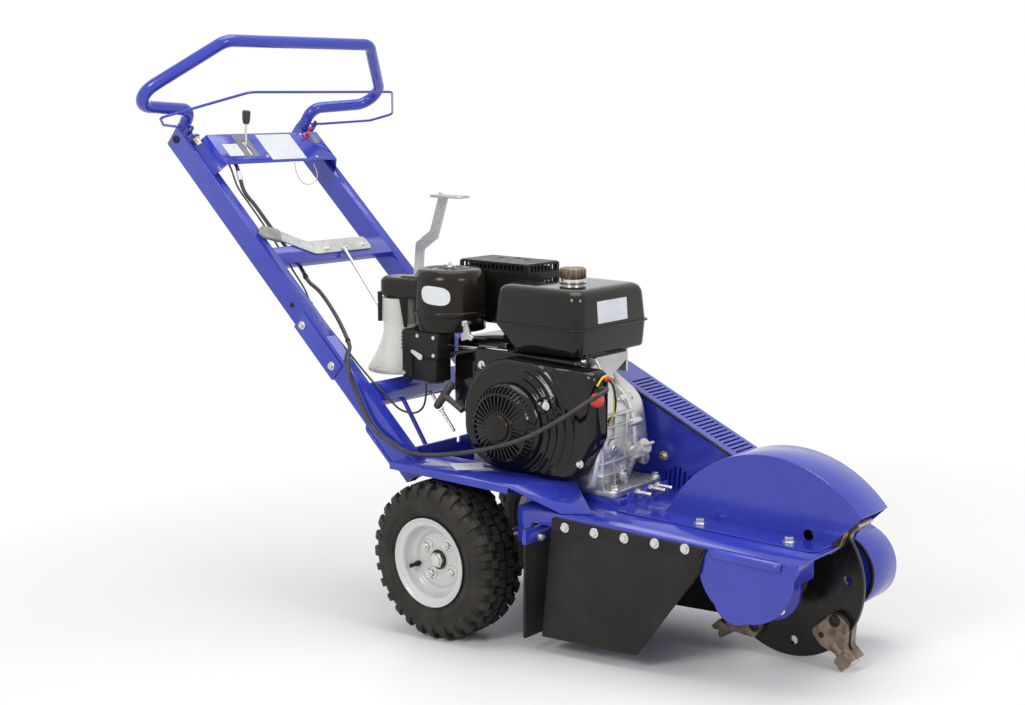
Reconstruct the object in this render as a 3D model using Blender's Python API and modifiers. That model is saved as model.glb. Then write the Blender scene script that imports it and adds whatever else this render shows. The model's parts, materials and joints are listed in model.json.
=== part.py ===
"""Walk-behind stump grinder: wheeled deck, inclined handle frame, petrol engine and toothed cutter wheel.

Metres. +X points forward to the cutter wheel, +Y to the left and +Z up. x is measured from the axle,
y from the centre plane and z from the tyres' foot. The wheels stand on the ground, and everything else
tips forward round the axle until the lowest cutter teeth touch the ground too. The root empty centres the
machine's length on the world origin. The handle frame lies in a tilted frame of its own: s runs down its
legs and n out of them.
"""
import bpy
import bmesh
from math import acos, asin, atan2, cos, degrees, hypot, pi, radians, sin, sqrt
from mathutils import Matrix, Vector

# Overall
AXLE_X = -0.03105           # axle's place under the root, so that the length is centred
GAP = 0.0003                # between pieces that touch or run on each other
RUN = 0.0006                # radial clearance of turning pieces
SHEET = 0.003               # thickness of the folded sheet metal

# Running gear
TYRE_RADIUS = 0.165
TYRE_WIDTH = 0.120
TREAD_DEPTH = 0.008
TYRE_STEPS = 40
TRACK_HALF = 0.200
AXLE_RADIUS = 0.0127
RIM_SEAT = 0.0765
RIM_FLANGE = 0.0925
RIM_STEPS = 24
HUB_RADIUS = 0.0215
HUB_INNER = 0.050
HUB_OUTER = 0.023
DISH_OUT = 0.020              # the wheel disc's outer face, from the tyre's middle
LUG_COUNT = 4
LUG_CIRCLE = 0.040
LUG_START = radians(52)
LUG_HEIGHT = 0.010
LUG_RADIUS = 0.0095
RIM_WALL = 0.003
AXLE_NUT_RADIUS = 0.018
AXLE_NUT_THICK = 0.010
AXLE_WASHER_RADIUS = 0.021
AXLE_STUB = 0.016             # beyond the hubs

# Deck and side plates
DECK_THICK = 0.005
DECK_ABOVE_AXLE = 0.143
DECK_REAR = -0.130
DECK_STEP = 0.190
DECK_FRONT = 0.815
DECK_LEFT_FRONT = 0.770
FRONT_LIP_DROP = 0.040        # of the right arm's folded front edge
FRONT_LIP_BACK = 0.012
FRONT_LIP_IN = 0.115
DECK_HALF = 0.125
RIGHT_EDGE = 0.1947
LEFT_EDGE = 0.1097
SLOT_REAR = 0.470
SLOT_HALF = 0.046
LIP_HEIGHT = 0.062
HANGER_LENGTH = 0.100
HANGER_DROP = 0.168
HANGER_THICK = 0.006
RAIL_HEIGHT = 0.0137
RAIL_WIDTH = 0.040
RAIL_Y = 0.065
STOP_X = 0.352
STOP_HEIGHT = 0.024
LOCK_NOTCH = 0.012          # depth of the notch for the lock rod in the deck's rear lip
LOCK_NOTCH_SIDE = 0.002     # room on each side of the rod there
SIDE_BAND = 0.029
SIDE_REAR_DROP = 0.044       # the side plates' rear corner below the band
SIDE_REAR_LOW = 0.024
SIDE_REAR_TOP = 0.036
TAB_RADIUS = 0.098
TAB_X = 0.712
LEFT_TAB_X = 0.667

# Rubber flaps, with heights as drops below the deck's top
FLAP_THICK = 0.006
FLAP_REAR = 0.281
FLAP_FRONT = 0.633
FLAP_HEAD = 0.008
FLAP_LEAN = 0.005
FLAP_CORNER = (0.620, 0.052)
FLAP_FRONT_FOOT = (0.484, 0.240)
FLAP_REAR_FOOT = (0.257, 0.255)
FLAP_FOOT = 0.258
INNER_FLAP_SHORTER = 0.008
FLAP_BAR_REAR = 0.235
FLAP_BAR_THICK = 0.0097
FLAP_BAR_RIGHT = 0.241
REAR_FLAP_RIGHT = 0.230
FLAP_BAR_DROP = 0.058
FLAP_BAR_HEIGHT = 0.030
BAR_TAB_Y = (-0.150, 0.060)
BAR_TAB_HALF = 0.015

# Fenders
FENDER_RISE = 0.045
FENDER_HALF = 0.120
FENDER_OUT = 0.242
FENDER_IN = 0.1283
FENDER_LIP = 0.012
FENDER_FRONT = 0.200
FENDER_FRONT_IN = 0.275

# Handle frame
LEG_SLOPE = radians(42.1)
LEG_REF_X = -0.773
LEG_REF_RISE = 0.592        # above the deck
LEG_OUTER = 0.200
LEG_WIDTH = 0.027
LEG_DEPTH = 0.054
LEG_WALL = 0.0025
LEG_TOP = -0.141
LEG_JOINT = 0.520
LEG_END = 0.930
LEG_TYRE_GAP = 0.014
SPLICE_START = 0.438
SPLICE_END = 0.597
MEMBER_FLANGE = 0.018
UPPER_MEMBER = 0.254
UPPER_MEMBER_WIDTH = 0.050
LOWER_MEMBER_WIDTH = 0.052
CONSOLE_TOP = -0.075
CONSOLE_LENGTH = 0.097
CONSOLE_RISE = 0.036
CONSOLE_HALF = 0.172
LOOP_RADIUS = 0.005
TIE_LOOP = ((0.724, 0.006), (0.727, -0.0165), (0.836, -0.0165), (0.842, 0.006))
TIE_LOOP_BEND = 0.010

# Handlebar and bail, with bends given as (x, y, z) from the legs' reference point
BAR_RADIUS = 0.014
BAR_BEND = 0.045
POST_S = -0.131
POST_Y = 0.188
POST_TOP = (-0.027, 0.190, 0.174)
BAR_CORNER = (0.0056, 0.4046, 0.1864)
BAR_TOP = (0.1449, 0.2225, 0.3265)
BAIL_RADIUS = 0.003
BAIL_BEND = 0.030
BAIL_S = -0.1105
BAIL_N = 0.082
BAIL_SWING_Y = 0.222
BAIL_LOW = (0.042, 0.3228, 0.1426)
BAIL_CORNER = (0.0834, 0.3621, 0.1587)
BAIL_TOP = (0.2195, 0.2218, 0.2142)
EAR_FRONT = -0.1035
EAR_BACK = -0.1165
FINGER_Y = 0.183
PLUNGER_RADIUS = 0.0045
PLUNGER_LENGTH = 0.020

# Hand controls
THROTTLE_S = -0.018
THROTTLE_Y = -0.080
THROTTLE_RISE = 0.012
THROTTLE_TOP_S = -0.075
THROTTLE_TOP_RISE = 0.086
THROTTLE_KNOB = (0.016, 0.022)      # along and across the lever's swing
THROTTLE_KNOB_DOWN = 0.014          # below and above the stem's end
THROTTLE_KNOB_UP = 0.018
TOGGLE_S = -0.0588
TOGGLE_Y = 0.127
TOGGLE_BOSS = 0.006
TOGGLE_BALL = 0.005
TOGGLE_LENGTH = 0.018
TOGGLE_LEAN = radians(12)
LOCK_S = 0.270
LOCK_Y = 0.096
LOCK_THICK = 0.004
LOCK_OUTLINE = ((-0.020, 0.018, 0.010), (-0.020, -0.162, 0.006), (-0.061, -0.222, 0.004),
                (-0.034, -0.238, 0.004), (0.019, -0.162, 0.012), (0.019, 0.018, 0.010))
GRIP_OUTLINE = ((-0.060, -0.222, 0.008), (-0.079, -0.262, 0.012), (-0.062, -0.286, 0.012),
                (-0.044, -0.280, 0.010), (-0.024, -0.238, 0.010))
LOCK_GRIP_THICK = 0.009
ROD_RADIUS = 0.004
ROD_TOP = (0.286, 0.020, 0.0095)
ROD_FOOT = (0.818, -0.020, -0.0154)
STRAP_LINE = ((0.342, -0.291), (0.357, -0.144), (0.402, -0.114), (0.434, -0.019))
STRAP_WIDTH = 0.027
STRAP_THICK = 0.006

# Cutter
CUTTER_X = 0.690
CUTTER_BELOW_DECK = 0.090
TIP_RADIUS = 0.200
TOOTH_TRAIL = 0.019         # how far the head reaches to either side of its own radius
TOOTH_LEAD = 0.012
DISC_RADIUS = 0.155
DISC_THICK = 0.010
SHAFT_RADIUS = 0.015
TEETH = 8
TOOTH_START = radians(-45)
TOOTH_PITCH = radians(90)
TOOTH_THICK = 0.017
BIG_BOLT_CIRCLE = 0.124
BOLT_RADIUS = 0.008
BOLT_OFFSET = radians(16)
SCREW_OFFSET = radians(-3.6)
SPARE_OFFSET = radians(52)
POCKET = ((0.104, -0.022, 0.012), (0.138, -0.024, 0.010), (0.182, -0.006, 0.003),
          (0.182, 0.018, 0.003), (0.137, 0.051, 0.012), (0.104, 0.046, 0.014))
HEAD_START = 0.176
HEAD_PROUD = 0.004
DISC_HUB_RADIUS = 0.042
DISC_HUB_HALF = 0.022
BEARING_RADIUS = 0.046
BEARING_FLANGE = 0.009
BEARING_HUB_RADIUS = 0.030
BEARING_DEPTH = 0.028
RIGHT_BEARING_DEPTH = 0.1245
RIGHT_BEARING_COLLAR = 0.067
CUTTER_PULLEY_RADIUS = 0.060
CRANK_PULLEY_RADIUS = 0.048
BELT_WIDTH = 0.020
BELT_DEPTH = 0.009
BELT_Y = 0.158
SHAFT_PAST = 0.012             # shafts beyond their pulleys

# Hood and belt guard
HOOD_RADIUS = 0.247
HOOD_SHIFT_X = -0.018
HOOD_SHIFT_Z = -0.010
HOOD_FRONT_ANGLE = 40.6     # degrees round the hood's centre
HOOD_LIP_X = 0.800
HOOD_RIGHT = 0.055
HOOD_LEFT = 0.050
HOOD_FLANGE = 0.115
HOOD_FLANGE_REAR = 0.364
HOOD_FLANGE_FRONT = 0.804
GUARD_REAR_RADIUS = 0.092
GUARD_FRONT_RADIUS = 0.077
GUARD_SHIFT_X = 0.040
GUARD_SHIFT_Z = -0.0105
GUARD_WIDTH = 0.092
GUARD_HOLE = 0.022

# Engine
CRANK_X = 0.133
CRANK_RISE = 0.147          # above the deck
CRANK_RADIUS = 0.0125
BLOCK_HALF = 0.100
BLOCK_REAR = -0.020
BLOCK_FRONT = 0.320
BLOCK_HEIGHT = 0.238
COVER_DEPTH = 0.060
COVER_WALL = 0.004
COVER_LEFT = 0.008
COVER_RIGHT = 0.335
COVER_LOW = 0.052
COVER_TOP = 0.282
COVER_SIDE = 0.050
COVER_STEP = 0.090
COVER_SLOPE = 0.008
COVER_RADII = (0.085, 0.025, 0.025, 0.020, 0.110)
FOOT_PAST = (0.020, 0.022)
FOOT_THICK = 0.014
HEAD_X = (-0.110, 0.050)
HEAD_LEFT = 0.090
HEAD_RISE = 0.110
HEAD_TOP = 0.040
POST_IN = (0.030, 0.025)
POST_PLACES = (-0.056, 0.080)
POST_THICK = 0.006
RECOIL_RADIUS = 0.088
RECOIL_DEPTH = 0.040
RECOIL_HUB = 0.027
FLYWHEEL_RADIUS = 0.085
TANK_X = (0.032, 0.270)
TANK_Y = (-0.110, 0.142)
TANK_RISE = 0.287
TANK_HEIGHT = 0.133
TANK_SEAM = 0.056
CAP_RADIUS = 0.028
CAP_HEIGHT = 0.022
NECK_HEIGHT = 0.009            # the tank's neck, up to the cap
CLEANER_X = -0.123
CLEANER_Y = -0.050
CLEANER_RADIUS = 0.080
CLEANER_RISE = 0.307
CLEANER_HEIGHT = 0.130
BOWL_X = -0.246
BOWL_Y = -0.075
BOWL_RADIUS = 0.040
BOWL_HEIGHT = 0.165
BOWL_WAIST = 0.095             # above the bowl's foot, where it starts to flare
BOWL_WAIST_RADIUS = 0.038
BOWL_FOOT = (0.062, 0.050)     # half length and half width of the foot
BOWL_FOOT_SHIFT = (-0.017, -0.005)
BOWL_FOOT_EDGE = 0.010
BOWL_CLEAR = 0.0124         # from the bowl down to the lower cross-member's upper edge
DUCT_SEAT = 0.060           # above the cleaner's foot
DUCT_HEIGHT = 0.045
MUFFLER_X = (-0.172, 0.021)
MUFFLER_Y = (0.036, 0.145)
MUFFLER_RISE = 0.312
MUFFLER_HEIGHT = 0.134
STUB_X = (-0.060, -0.020)      # exhaust stub from the head up into the muffler
STUB_Y = (0.050, 0.080)
CAP_X = 0.154
CAP_Y = 0.020
CARB_X = (-0.200, -0.090)
CARB_Y = (-0.125, -0.060)
CARB_RISE = 0.192
CHOKE_X = -0.140
CHOKE_RISE = 0.060             # above the carburettor's foot
CHOKE_REACH = (-0.022, 0.010)
DIPSTICK_Y = 0.020
DIPSTICK_RISE = 0.102
DIPSTICK_LEAN = radians(31)
DIPSTICK_RADIUS = 0.016
DIPSTICK_HEIGHT = 0.020
FILLER_RADIUS = 0.013
SWITCH_Y = -0.145
SWITCH_RISE = 0.223
SWITCH_RADIUS = 0.014
SWITCH_DEPTH = 0.018
GRIP_X = -0.046
GRIP_Y = -0.155
GRIP_RISE = 0.185
GRIP_STEM = 0.057
GRIP_HALF = 0.033
GRIP_RADIUS = 0.0095
GRIP_TWIST = radians(20)
PULL_LEAN = radians(27)

# Routes of the wiring loom and the throttle cable, with z above the deck
LOOM_RADIUS = 0.0045
CABLE_RADIUS = 0.0022
LOOM_ROUTE = [
    (-0.7294, -0.137, 0.6577), (-0.7059, -0.137, 0.6365), (-0.678, -0.141, 0.582), (-0.654, -0.127, 0.546),
    (-0.616, -0.114, 0.496), (-0.582, -0.103, 0.456), (-0.537, -0.100, 0.411),
    (-0.503, -0.108, 0.383), (-0.465, -0.106, 0.359), (-0.389, -0.130, 0.313), (-0.322, -0.160, 0.266),
    (-0.300, -0.182, 0.253), (-0.284, -0.201, 0.239), (-0.270, -0.2115, 0.217), (-0.254, -0.2105, 0.18),
    (-0.206, -0.2100, 0.108), (-0.146, -0.2105, 0.077), (-0.063, -0.212, 0.066), (0.078, -0.216, 0.094),
    (0.210, -0.219, 0.138), (0.295, -0.202, 0.187), (0.347, -0.172, 0.228), (0.361, -0.142, 0.243),
    (0.350, -0.130, 0.244), (COVER_RIGHT + GAP, -0.130, 0.244),
]
CABLE_ROUTE = [
    (-0.7294, -0.156, 0.6577), (-0.7059, -0.156, 0.636), (-0.683, -0.155, 0.591), (-0.658, -0.141, 0.550),
    (-0.626, -0.129, 0.505), (-0.586, -0.124, 0.459), (-0.540, -0.126, 0.413),
    (-0.490, -0.134, 0.371), (-0.430, -0.159, 0.332), (-0.310, -0.164, 0.24), (-0.272, -0.166, 0.212),
    (-0.240, -0.166, 0.189), (-0.215, -0.160, 0.168), (-0.192, -0.140, 0.135), (-0.172, -0.116, 0.124),
    (-0.150, -0.110, 0.138), (-0.140, -0.110, 0.168), (-0.140, -0.110, CARB_RISE - GAP),
]

# Derived places
AXLE_Z = TYRE_RADIUS
DECK_TOP = AXLE_Z + DECK_ABOVE_AXLE
DECK_LOW = DECK_TOP - DECK_THICK
SEAT = DECK_TOP + GAP
CRANK_Z = DECK_TOP + CRANK_RISE
BLOCK_LOW = DECK_TOP + RAIL_HEIGHT + GAP
BLOCK_TOP = BLOCK_LOW + BLOCK_HEIGHT
CARB_LOW = DECK_TOP + CARB_RISE
CUTTER_Z = DECK_TOP - CUTTER_BELOW_DECK
LOW_EDGE = TOOTH_START - atan2(TOOTH_TRAIL, TIP_RADIUS)
LOW_X = CUTTER_X + hypot(TIP_RADIUS, TOOTH_TRAIL) * cos(LOW_EDGE)
LOW_Z = CUTTER_Z + hypot(TIP_RADIUS, TOOTH_TRAIL) * sin(LOW_EDGE) - AXLE_Z
TIP_FORWARD = atan2(LOW_Z, LOW_X) + asin(AXLE_Z / hypot(LOW_X, LOW_Z))
SIDE_RIGHT = (-RIGHT_EDGE - GAP - 0.005, -RIGHT_EDGE - GAP)
SIDE_LEFT = (LEFT_EDGE + GAP, LEFT_EDGE + GAP + 0.005)
GUARD_Y = (SIDE_LEFT[1] + GAP, SIDE_LEFT[1] + GAP + GUARD_WIDTH)
HOOD_X = CUTTER_X + HOOD_SHIFT_X
HOOD_Z = CUTTER_Z + HOOD_SHIFT_Z
LEG_INNER = LEG_OUTER - LEG_WIDTH
THROTTLE_N = LEG_DEPTH + THROTTLE_RISE
THROTTLE_TOP_N = LEG_DEPTH + THROTTLE_TOP_RISE
ROD_START = (ROD_TOP[0], ROD_TOP[1], LEG_DEPTH + ROD_TOP[2])
ROD_END = (ROD_FOOT[0], ROD_FOOT[1], LEG_DEPTH + ROD_FOOT[2])
DIPSTICK_Z = DECK_TOP + DIPSTICK_RISE
DIPSTICK_AXIS = Vector((cos(DIPSTICK_LEAN), 0, sin(DIPSTICK_LEAN)))
DIPSTICK_SEAT = Vector((BLOCK_FRONT + 0.018, DIPSTICK_Y, DIPSTICK_Z))
GRIP_Z = DECK_TOP + GRIP_RISE
PULL_AXIS = Vector((-cos(PULL_LEAN), 0, sin(PULL_LEAN)))
PLUNGER_N = LEG_DEPTH + 0.012
CONSOLE_N = LEG_DEPTH + CONSOLE_RISE
LEG_REF_Z = DECK_TOP + LEG_REF_RISE
BOWL_TOP = DECK_TOP + CLEANER_RISE + DUCT_SEAT
MEMBER_TOP = BOWL_TOP - BOWL_HEIGHT - BOWL_CLEAR
LOWER_MEMBER = (LEG_REF_Z + LEG_DEPTH * cos(LEG_SLOPE) - MEMBER_TOP) / sin(LEG_SLOPE)
FLAP_BAR_FRONT = FLAP_BAR_REAR + FLAP_BAR_THICK
FLAP_BAR_LOW = DECK_LOW - FLAP_BAR_DROP
LEG_MATRIX = Matrix.Translation((LEG_REF_X, 0, LEG_REF_Z)) @ Matrix.Rotation(LEG_SLOPE, 4, "Y")


# Scene bookkeeping

for old in list(bpy.data.objects):
    bpy.data.objects.remove(old, do_unlink=True)

PARTS = bpy.data.collections.new("stump_grinder")
bpy.context.scene.collection.children.link(PARTS)


def empty(name, matrix, parent=None):
    obj = bpy.data.objects.new(name, None)
    obj.parent = parent
    obj.matrix_local = matrix
    PARTS.objects.link(obj)
    return obj


ROOT = empty("machine_root", Matrix.Translation((AXLE_X, 0, 0)))
TO_AXLE = Matrix.Translation((0, 0, AXLE_Z))
CHASSIS = empty("chassis", TO_AXLE @ Matrix.Rotation(TIP_FORWARD, 4, "Y") @ TO_AXLE.inverted(), ROOT)
LEG_FRAME = empty("handle_frame", LEG_MATRIX, CHASSIS)


def material(name, color, roughness, metallic=0.0):
    mat = bpy.data.materials.new(name)
    mat.use_nodes = True
    shader = mat.node_tree.nodes["Principled BSDF"]
    shader.inputs["Base Color"].default_value = (*color, 1.0)
    shader.inputs["Roughness"].default_value = roughness
    shader.inputs["Metallic"].default_value = metallic
    return mat


BLUE = material("blue_paint", (0.025, 0.045, 0.42), 0.25)
ZINC = material("zinc", (0.62, 0.62, 0.62), 0.35, 1.0)
ALUMINIUM = material("cast_aluminium", (0.60, 0.61, 0.62), 0.45, 1.0)
BLACK = material("black_enamel", (0.012, 0.010, 0.009), 0.18)
PLASTIC = material("black_plastic", (0.02, 0.02, 0.02), 0.5)
RUBBER = material("rubber", (0.015, 0.015, 0.015), 0.75)
TYRE = material("tyre_rubber", (0.02, 0.018, 0.016), 0.85)
RIM = material("grey_rim_paint", (0.66, 0.66, 0.66), 0.35)
STEEL = material("brown_steel", (0.20, 0.16, 0.13), 0.45, 1.0)
DISC = material("dark_disc_steel", (0.06, 0.055, 0.05), 0.45, 1.0)
BRASS = material("brass", (0.70, 0.55, 0.25), 0.3, 1.0)
RED = material("red_plastic", (0.75, 0.05, 0.04), 0.35)
GLASSY = material("clear_bowl", (0.85, 0.86, 0.85), 0.2)


# Solid shapes, all built in place

def to_object(mesh):
    obj = bpy.data.objects.new("work", mesh)
    PARTS.objects.link(obj)
    return obj


def from_bmesh(bm):
    mesh = bpy.data.meshes.new("work")
    bm.to_mesh(mesh)
    bm.free()
    return to_object(mesh)


def box(x, y, z):
    bm = bmesh.new()
    size = (x[1] - x[0], y[1] - y[0], z[1] - z[0])
    centre = ((x[0] + x[1]) / 2, (y[0] + y[1]) / 2, (z[0] + z[1]) / 2)
    bmesh.ops.create_cube(bm, size=1.0, matrix=Matrix.Translation(centre) @ Matrix.Diagonal((*size, 1)))
    return from_bmesh(bm)


def rod(start, end, radius, sides=12, end_radius=None):
    start = Vector(start)
    along = Vector(end) - start
    turn = along.to_track_quat("Z", "Y").to_matrix().to_4x4()
    place = Matrix.Translation(start + along / 2) @ turn
    bm = bmesh.new()
    bmesh.ops.create_cone(bm, cap_ends=True, segments=sides, radius1=radius,
                          radius2=radius if end_radius is None else end_radius,
                          depth=along.length, matrix=place)
    return from_bmesh(bm)


def evaluated(obj):
    """The object's mesh with its modifiers, as a new object in place of the old one."""
    bpy.context.view_layer.update()
    graph = bpy.context.evaluated_depsgraph_get()
    mesh = bpy.data.meshes.new_from_object(obj.evaluated_get(graph))
    mesh.transform(obj.matrix_world)
    bm = bmesh.new()
    bm.from_mesh(mesh)
    bmesh.ops.remove_doubles(bm, verts=bm.verts, dist=0.00001)
    bmesh.ops.recalc_face_normals(bm, faces=bm.faces)
    bm.to_mesh(mesh)
    bm.free()
    bpy.data.objects.remove(obj, do_unlink=True)
    return to_object(mesh)


def plate(outline, low, high, turn, holes=()):
    """A flat outline with holes, filled and given the thickness from low to high along its normal."""
    curve = bpy.data.curves.new("work", "CURVE")
    curve.dimensions = "2D"
    curve.fill_mode = "BOTH"
    curve.extrude = (high - low) / 2
    for loop in (outline, *holes):
        spline = curve.splines.new("POLY")
        spline.points.add(len(loop) - 1)
        for point, (u, v) in zip(spline.points, loop):
            point.co = (u, v, 0, 1)
        spline.use_cyclic_u = True
    obj = bpy.data.objects.new("work", curve)
    PARTS.objects.link(obj)
    obj.matrix_world = turn @ Matrix.Translation((0, 0, (low + high) / 2))
    return evaluated(obj)


SIDEWAYS = Matrix(((1, 0, 0, 0), (0, 0, 1, 0), (0, 1, 0, 0), (0, 0, 0, 1)))
ACROSS = Matrix(((0, 0, 1, 0), (1, 0, 0, 0), (0, 1, 0, 0), (0, 0, 0, 1)))


def plate_xy(outline, z, holes=()):
    return plate(outline, z[0], z[1], Matrix.Identity(4), holes)


def plate_xz(outline, y, holes=()):
    return plate(outline, y[0], y[1], SIDEWAYS, holes)


def plate_yz(outline, x, holes=()):
    return plate(outline, x[0], x[1], ACROSS, holes)


def arc(centre, radius, start, end, steps):
    """Points on a circle from one angle to another, in degrees."""
    angles = [radians(start + (end - start) * k / steps) for k in range(steps + 1)]
    return [(centre[0] + radius * cos(a), centre[1] + radius * sin(a)) for a in angles]


def circle(centre, radius, steps=12):
    return arc(centre, radius, 0, 360, steps)[:-1]


def hull(first, first_radius, second, second_radius, steps):
    """Outline of the belt-like shape round two circles."""
    along = degrees(atan2(second[1] - first[1], second[0] - first[0]))
    reach = hypot(second[0] - first[0], second[1] - first[1])
    lean = degrees(acos((first_radius - second_radius) / reach))
    near = arc(first, first_radius, along + lean, along + 360 - lean, steps)
    far = arc(second, second_radius, along - lean, along + lean, steps)
    return near + far


def rounded(corners, steps=3):
    """Closed outline whose corners (u, v, radius) are rounded with arcs."""
    outline = []
    count = len(corners)
    for k, (u, v, radius) in enumerate(corners):
        here = Vector((u, v))
        if radius == 0:
            outline.append((u, v))
            continue
        before = (Vector(corners[k - 1][:2]) - here).normalized()
        after = (Vector(corners[(k + 1) % count][:2]) - here).normalized()
        outline += [tuple(p) for p in fillet(here, before, after, radius, steps)]
    return outline


def fillet(here, before, after, radius, steps):
    """Points of the arc of a radius that rounds a corner, given the unit directions to its neighbours."""
    half = acos(max(-1.0, min(1.0, before.dot(after)))) / 2
    middle = (before + after).normalized()
    centre = here + middle * (radius / sin(half))
    spread = pi / 2 - half
    side = (before - middle * before.dot(middle)).normalized()
    points = []
    for k in range(steps + 1):
        angle = spread * (1 - 2 * k / steps)
        points.append(centre - middle * radius * cos(angle) + side * radius * sin(angle))
    return points


def bent(points, radii, steps=4):
    """An open path through the points, with each inner corner rounded to its own radius."""
    path = [Vector(points[0])]
    for k, radius in zip(range(1, len(points) - 1), radii):
        here = Vector(points[k])
        before = (Vector(points[k - 1]) - here).normalized()
        after = (Vector(points[k + 1]) - here).normalized()
        path += fillet(here, before, after, radius, steps)
    path.append(Vector(points[-1]))
    return path


def tube(path, radius, resolution=2):
    curve = bpy.data.curves.new("work", "CURVE")
    curve.dimensions = "3D"
    curve.bevel_depth = radius
    curve.bevel_resolution = resolution
    curve.use_fill_caps = True
    spline = curve.splines.new("POLY")
    spline.points.add(len(path) - 1)
    for point, co in zip(spline.points, path):
        point.co = (*co, 1)
    obj = bpy.data.objects.new("work", curve)
    PARTS.objects.link(obj)
    return evaluated(obj)


def smooth_path(points, spacing):
    """Points at a steady spacing on a smooth curve through the given points."""
    pts = [Vector(p) for p in points]
    pts = [pts[0] * 2 - pts[1]] + pts + [pts[-1] * 2 - pts[-2]]
    path = []
    for a, b, c, d in zip(pts, pts[1:], pts[2:], pts[3:]):
        count = max(1, round((c - b).length / spacing))
        for k in range(count):
            t = k / count
            path.append(0.5 * (2 * b + (c - a) * t + (2 * a - 5 * b + 4 * c - d) * t ** 2
                               + (3 * b - a - 3 * c + d) * t ** 3))
    path.append(pts[-2])
    return path


def turned(profile, steps, place, closed=False):
    """A profile of (radius, height) points turned about a vertical axis, then placed by a matrix."""
    bm = bmesh.new()
    verts = [bm.verts.new((r, 0, h)) for r, h in profile]
    for a, b in zip(verts, verts[1:]):
        bm.edges.new((a, b))
    if closed:
        bm.edges.new((verts[-1], verts[0]))
    obj = from_bmesh(bm)
    screw = obj.modifiers.new("turn", "SCREW")
    screw.steps = steps
    screw.render_steps = steps
    screw.use_merge_vertices = True
    screw.merge_threshold = 0.00001
    obj.matrix_world = place
    return evaluated(obj)


def lofted(sections):
    """Closed solid through level outlines of equal point counts, each with its height."""
    bm = bmesh.new()
    rings = [[bm.verts.new((x, y, z)) for x, y in outline] for outline, z in sections]
    for low, high in zip(rings, rings[1:]):
        for k in range(len(low)):
            bm.faces.new((low[k - 1], low[k], high[k], high[k - 1]))
    bm.faces.new(rings[0])
    bm.faces.new(rings[-1])
    bmesh.ops.recalc_face_normals(bm, faces=bm.faces)
    return from_bmesh(bm)


def combine(base, others, operation):
    for other in others:
        modifier = base.modifiers.new("cut", "BOOLEAN")
        modifier.operation = operation
        modifier.solver = "EXACT"
        modifier.object = other
    result = evaluated(base)
    for other in others:
        bpy.data.objects.remove(other, do_unlink=True)
    return result


def fuse(base, *others):
    return combine(base, others, "UNION")


def cut(base, *others):
    return combine(base, others, "DIFFERENCE")


def softened(obj, width, segments=2, limit=35):
    """Rounds the object's sharp edges."""
    bevel = obj.modifiers.new("soften", "BEVEL")
    bevel.width = width
    bevel.segments = segments
    bevel.angle_limit = radians(limit)
    return evaluated(obj)


def part(name, obj, mat, pivot=(0, 0, 0), parent=CHASSIS):
    """Names the finished solid, gives it its material and puts its origin at its pivot."""
    obj.name = name
    obj.data.name = name
    obj.data.materials.clear()
    obj.data.materials.append(mat)
    obj.data.transform(Matrix.Translation(-Vector(pivot)))
    obj.parent = parent
    obj.location = pivot
    obj.data.shade_smooth()
    obj.data.set_sharp_from_angle(angle=radians(32))
    return obj


def to_leg(x, z):
    """Handle frame coordinates (s, n) of a point of the side view."""
    point = LEG_MATRIX.inverted() @ Vector((x, 0, z))
    return point.x, point.z


# Running gear

def wheel_axis(side):
    """Places a turned shape on the axle, with its outer end to the given side."""
    turn = Matrix.Rotation(-side * pi / 2, 4, "X")
    return Matrix.Translation((0, side * TRACK_HALF, AXLE_Z)) @ turn


def rim(name, side):
    bore = AXLE_RADIUS + RUN
    half = TYRE_WIDTH / 2
    wall = RIM_WALL
    profile = [
        (bore, -HUB_INNER), (HUB_RADIUS, -HUB_INNER), (HUB_RADIUS, DISH_OUT - 0.004),
        (RIM_SEAT - wall - 0.014, DISH_OUT - 0.001), (RIM_SEAT - wall, DISH_OUT + 0.002),
        (RIM_SEAT - wall, -half + 0.004), (RIM_FLANGE, -half + 0.001), (RIM_FLANGE, -half + 0.004),
        (RIM_SEAT, -half + 0.007), (RIM_SEAT, half - 0.007), (RIM_FLANGE, half - 0.004),
        (RIM_FLANGE, half - 0.001), (RIM_SEAT - wall, half - 0.004), (RIM_SEAT - wall, DISH_OUT + 0.014),
        (RIM_SEAT - wall - 0.014, DISH_OUT + 0.004), (HUB_RADIUS + 0.002, DISH_OUT),
        (HUB_RADIUS, HUB_OUTER), (bore, HUB_OUTER),
    ]
    body = turned(profile, RIM_STEPS, wheel_axis(side), closed=True)
    lugs = []
    for k in range(LUG_COUNT):
        angle = LUG_START + 2 * pi * k / LUG_COUNT
        x = LUG_CIRCLE * cos(angle)
        z = AXLE_Z + LUG_CIRCLE * sin(angle)
        lug_y = side * (TRACK_HALF + DISH_OUT)
        lugs.append(rod((x, lug_y, z), (x, lug_y + side * LUG_HEIGHT, z), LUG_RADIUS, sides=6))
    return part(name, fuse(body, *lugs), RIM, (0, side * TRACK_HALF, AXLE_Z), ROOT)


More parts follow.
